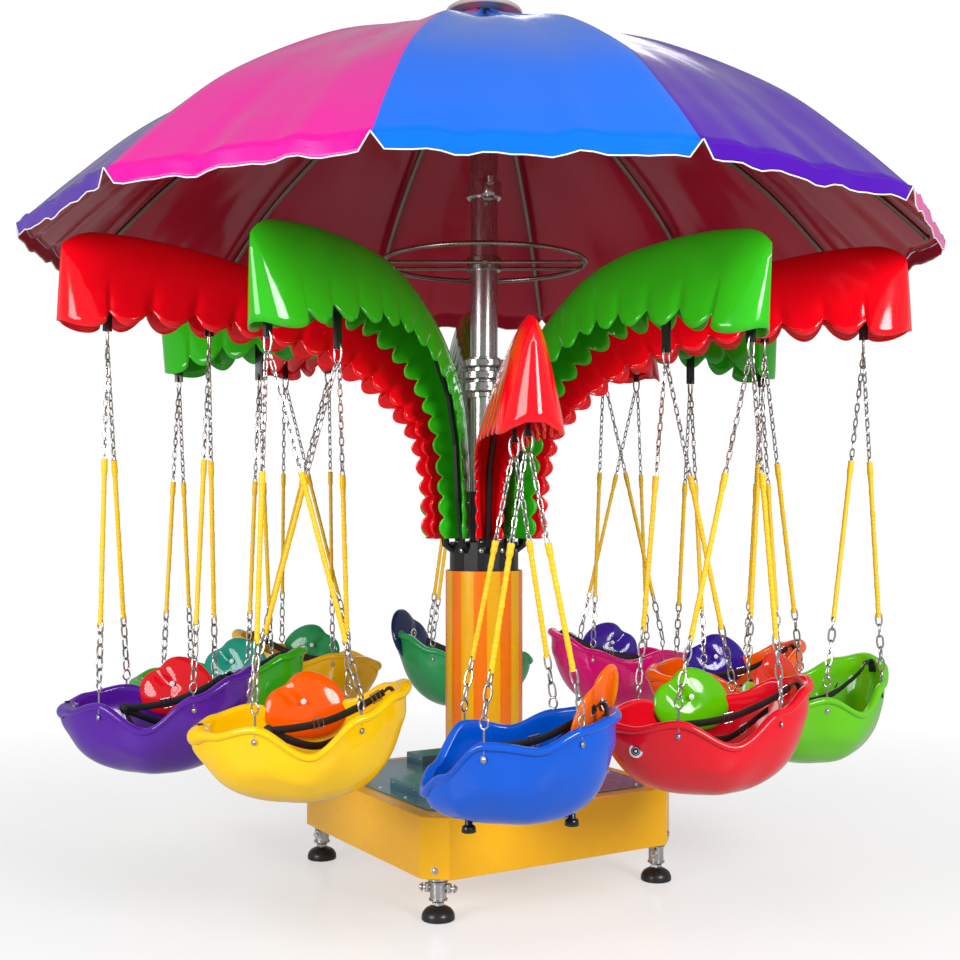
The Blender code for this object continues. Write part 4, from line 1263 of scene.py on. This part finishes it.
def build_hangers():
    """Each hanger: an eye at the arm and two strands of chain, sleeve and chain down to the seat's hooks."""
    props = looks()
    wire = props.chain_wire
    sleeve = material("sleeve_yellow", sleeve_skin, props.rope)
    zinc = material("chain_zinc", plated, srgb("cfcfcd"), 0.2, (20.0, 20.0, 20.0))
    t = np.linspace(0, 1, 60)
    cuffs = 1.0 + 0.25 * smooth_step((0.12 - t) / 0.03) + 0.10 * smooth_step((t - 0.97) / 0.02)
    for index in range(ARMS):
        turn = bearing_turn(arm_bearing(index))
        centre, _ = seat_place(index)
        across = turn_z((0, 1, 0), turn)
        lumps = 1.0 + 0.06 * np.sin(t * 95 + index) + 0.04 * np.sin(t * 41)
        for which, joint, pair in zip(("outer", "inner"), ("swing", "follow"), hooks(index)):
            top = np.array(JOINTS[f"{joint}_{index + 1}"]["pos_m"])
            hanger = Solid()
            eye = loop(top - (0, 0, 0.030), across * 0.014, (0, 0, 0.036), 20)
            sweep(hanger, eye, 0.0038, 8, True, up=np.cross(across, (0, 0, 1)), kind=1)
            for sign, spot in zip((-1.0, 1.0), pair):
                foot = turn_z(spot, turn) + centre + (0, 0, HOOK_HEIGHT + 0.006)
                head = top - (0, 0, 0.062) + across * sign * 0.006
                run = foot - head
                sleeve_top, sleeve_low = [head + run * share for share in SLEEVE_SPAN]
                chain(hanger, head, sleeve_top + run * 0.01, 0.037, 0.0185, wire * 1.1, 1, 0.3 + sign)
                chain(hanger, sleeve_low - run * 0.012, foot, 0.054, 0.028, wire * 1.4, 1, 0.8 * sign)
                path = sleeve_top + (sleeve_low - sleeve_top) * t[:, None]
                sweep(hanger, path, props.sleeve_radius * lumps * cuffs, 12, up=(0.2, 1, 0))
            piece(f"hanger_{which}_rig_{index + 1}", hanger, f"{which}_{index + 1}", [sleeve, zinc],
                  "rope_yellow", 60.0, [f"hanger_{which}_{index + 1}"])


# Lights: name, bearing, distance, height, height aimed at, size and power
LIGHTS = (
    ("key", 36, 6.0, 3.2, 1.5, 2.4, 285),
    ("fill", -44, 6.0, 2.4, 1.4, 3.0, 215),
    ("back", 170, 5.0, 4.5, 2.0, 3.0, 45),
)
WHITE = (1.0, 1.0, 1.0, 1.0)
SKY_LIGHT = 0.42
SKY_SEEN = 1.02
FLOOR_REACH = 60.0


def toward(bearing, distance, height):
    """A place at a bearing and distance from the axis."""
    return turn_z((distance, 0, height), bearing_turn(bearing))


def area_light(name, place, aim_height, size, power):
    """A round white lamp, aimed at a height on the axis."""
    lamp = bpy.data.lights.new(name, "AREA")
    lamp.shape = "DISK"
    lamp.size = size
    lamp.energy = power
    obj = bpy.data.objects.new(name, lamp)
    bpy.context.scene.collection.objects.link(obj)
    obj.location = place
    way = Vector((0, 0, aim_height)) - Vector(place)
    obj.rotation_euler = way.to_track_quat("-Z", "Y").to_euler()


def build_floor():
    """A flat square, half clear at the centre and wholly clear further out, so it fades to the background."""
    corners = [(x * FLOOR_REACH, y * FLOOR_REACH, 0) for x, y in ((-1, -1), (1, -1), (1, 1), (-1, 1))]
    mesh = bpy.data.meshes.new("floor")
    mesh.from_pydata(corners, [], [(0, 1, 2, 3)])
    floor = bpy.data.objects.new("floor", mesh)
    bpy.context.scene.collection.objects.link(floor)
    g = Graph("pale_floor")
    across, along = g.axis(0), g.axis(1)
    far = ((across * across + along * along) ** 0.5 - 0.9) / 3.6
    mesh.materials.append(g.finish(srgb("fbfbfc"), 0.22))
    clear = g.node("ShaderNodeBsdfTransparent", {}, {})
    clearness = far.clamp(0.0, 1.0) * 0.50 + 0.50
    shown = g.node("ShaderNodeMixShader", {}, {0: clearness, 1: Socket(g, g.shader.outputs[0]), 2: clear})
    g.tree.links.new(shown.link, g.tree.nodes["Material Output"].inputs["Surface"])


def build_world():
    """A white world, brighter where the camera sees it than as a light."""
    world = bpy.data.worlds.new("studio")
    bpy.context.scene.world = world
    world.use_nodes = True
    tree = world.node_tree
    light = tree.nodes["Background"]
    seen = tree.nodes.new("ShaderNodeBackground")
    for background, strength in ((light, SKY_LIGHT), (seen, SKY_SEEN)):
        background.inputs["Color"].default_value = WHITE
        background.inputs["Strength"].default_value = strength
    path = tree.nodes.new("ShaderNodeLightPath")
    blend = tree.nodes.new("ShaderNodeMixShader")
    tree.links.new(path.outputs["Is Camera Ray"], blend.inputs[0])
    tree.links.new(light.outputs[0], blend.inputs[1])
    tree.links.new(seen.outputs[0], blend.inputs[2])
    tree.links.new(blend.outputs[0], tree.nodes["World Output"].inputs["Surface"])


def build_stage():
    """Floor, world, lights and camera. The plain sRGB display keeps the colours as strong as the photo's."""
    bpy.context.scene.view_settings.view_transform = "Standard"
    build_floor()
    build_world()
    for name, bearing, distance, height, aim_height, size, power in LIGHTS:
        area_light(name, toward(bearing, distance, height), aim_height, size, power)

    camera_data = bpy.data.cameras.new("camera")
    camera_data.lens = FOCAL_MM
    camera_data.sensor_width = 36.0
    camera_data.shift_x = -(AXIS_COLUMN - IMAGE_SIZE / 2) / IMAGE_SIZE
    camera_data.shift_y = (HORIZON_ROW - IMAGE_SIZE / 2) / IMAGE_SIZE
    camera = bpy.data.objects.new("camera", camera_data)
    bpy.context.scene.collection.objects.link(camera)
    camera.location = toward(0.0, CAMERA_DISTANCE, CAMERA_HEIGHT)
    camera.rotation_euler = (math.pi / 2, 0, math.radians(FRONT_BEARING))
    bpy.context.scene.camera = camera


class SWINGRIDE_OT_stage(bpy.types.Operator):
    """Set the floor, the lights and the camera"""

    bl_idname = "swing_ride.stage"
    bl_label = "Stage"

    def execute(self, context):
        build_stage()
        return {"FINISHED"}


class SWINGRIDE_OT_base(bpy.types.Operator):
    """Make the base box, its top plate and bolts"""

    bl_idname = "swing_ride.base"
    bl_label = "Base"

    def execute(self, context):
        build_base()
        return {"FINISHED"}


class SWINGRIDE_OT_feet(bpy.types.Operator):
    """Make the four levelling feet"""

    bl_idname = "swing_ride.feet"
    bl_label = "Feet"

    def execute(self, context):
        build_feet()
        return {"FINISHED"}


class SWINGRIDE_OT_column(bpy.types.Operator):
    """Make the striped cover and finish the hub"""

    bl_idname = "swing_ride.column"
    bl_label = "Column"

    def execute(self, context):
        build_column()
        return {"FINISHED"}


class SWINGRIDE_OT_mast(bpy.types.Operator):
    """Make the tubes, flanges, clamp and hoop"""

    bl_idname = "swing_ride.mast"
    bl_label = "Mast"

    def execute(self, context):
        build_mast()
        return {"FINISHED"}


class SWINGRIDE_OT_canopy(bpy.types.Operator):
    """Make the cloth, hem, ribs and cap"""

    bl_idname = "swing_ride.canopy"
    bl_label = "Canopy"

    def execute(self, context):
        build_canopy()
        return {"FINISHED"}


class SWINGRIDE_OT_fronds(bpy.types.Operator):
    """Make the ten palm fronds"""

    bl_idname = "swing_ride.fronds"
    bl_label = "Fronds"

    def execute(self, context):
        build_fronds()
        return {"FINISHED"}


class SWINGRIDE_OT_seats(bpy.types.Operator):
    """Make the ten moulded seats and their harness"""

    bl_idname = "swing_ride.seats"
    bl_label = "Seats"

    def execute(self, context):
        build_seats()
        return {"FINISHED"}


class SWINGRIDE_OT_seat_trim(bpy.types.Operator):
    """Make the eyes, the nose slots as black discs of painted shade, bolts and rubber feet of the seats"""

    bl_idname = "swing_ride.seat_trim"
    bl_label = "Seat trim"

    def execute(self, context):
        build_seat_trim()
        return {"FINISHED"}


class SWINGRIDE_OT_hangers(bpy.types.Operator):
    """Make the chains and sleeves"""

    bl_idname = "swing_ride.hangers"
    bl_label = "Hangers"

    def execute(self, context):
        build_hangers()
        return {"FINISHED"}


OPERATORS = (
    SWINGRIDE_OT_stage,
    SWINGRIDE_OT_base,
    SWINGRIDE_OT_feet,
    SWINGRIDE_OT_column,
    SWINGRIDE_OT_mast,
    SWINGRIDE_OT_canopy,
    SWINGRIDE_OT_fronds,
    SWINGRIDE_OT_seats,
    SWINGRIDE_OT_seat_trim,
    SWINGRIDE_OT_hangers,
)


class SWINGRIDE_PT_panel(bpy.types.Panel):
    """Lists the steps in the 3D view's sidebar"""

    bl_label = "Swing ride"
    bl_space_type = "VIEW_3D"
    bl_region_type = "UI"
    bl_category = "Swing ride"

    def draw(self, context):
        for operator in OPERATORS:
            self.layout.operator(operator.bl_idname)
        for name in SwingRideLooks.__annotations__:
            self.layout.prop(context.scene.swing_ride_looks, name)


CLASSES = (SwingRideLooks, *OPERATORS, SWINGRIDE_PT_panel)


def register():
    for cls in CLASSES:
        bpy.utils.register_class(cls)
    bpy.types.Scene.swing_ride_looks = bpy.props.PointerProperty(type=SwingRideLooks)


def unregister():
    del bpy.types.Scene.swing_ride_looks
    for cls in reversed(CLASSES):
        bpy.utils.unregister_class(cls)


def main():
    register()
    steps = bpy.ops.swing_ride
    steps.stage()
    steps.base()
    steps.feet()
    steps.column()
    steps.mast()
    steps.canopy()
    steps.fronds()
    steps.seats()
    steps.seat_trim()
    steps.hangers()
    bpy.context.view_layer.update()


if __name__ == "__main__":
    main()
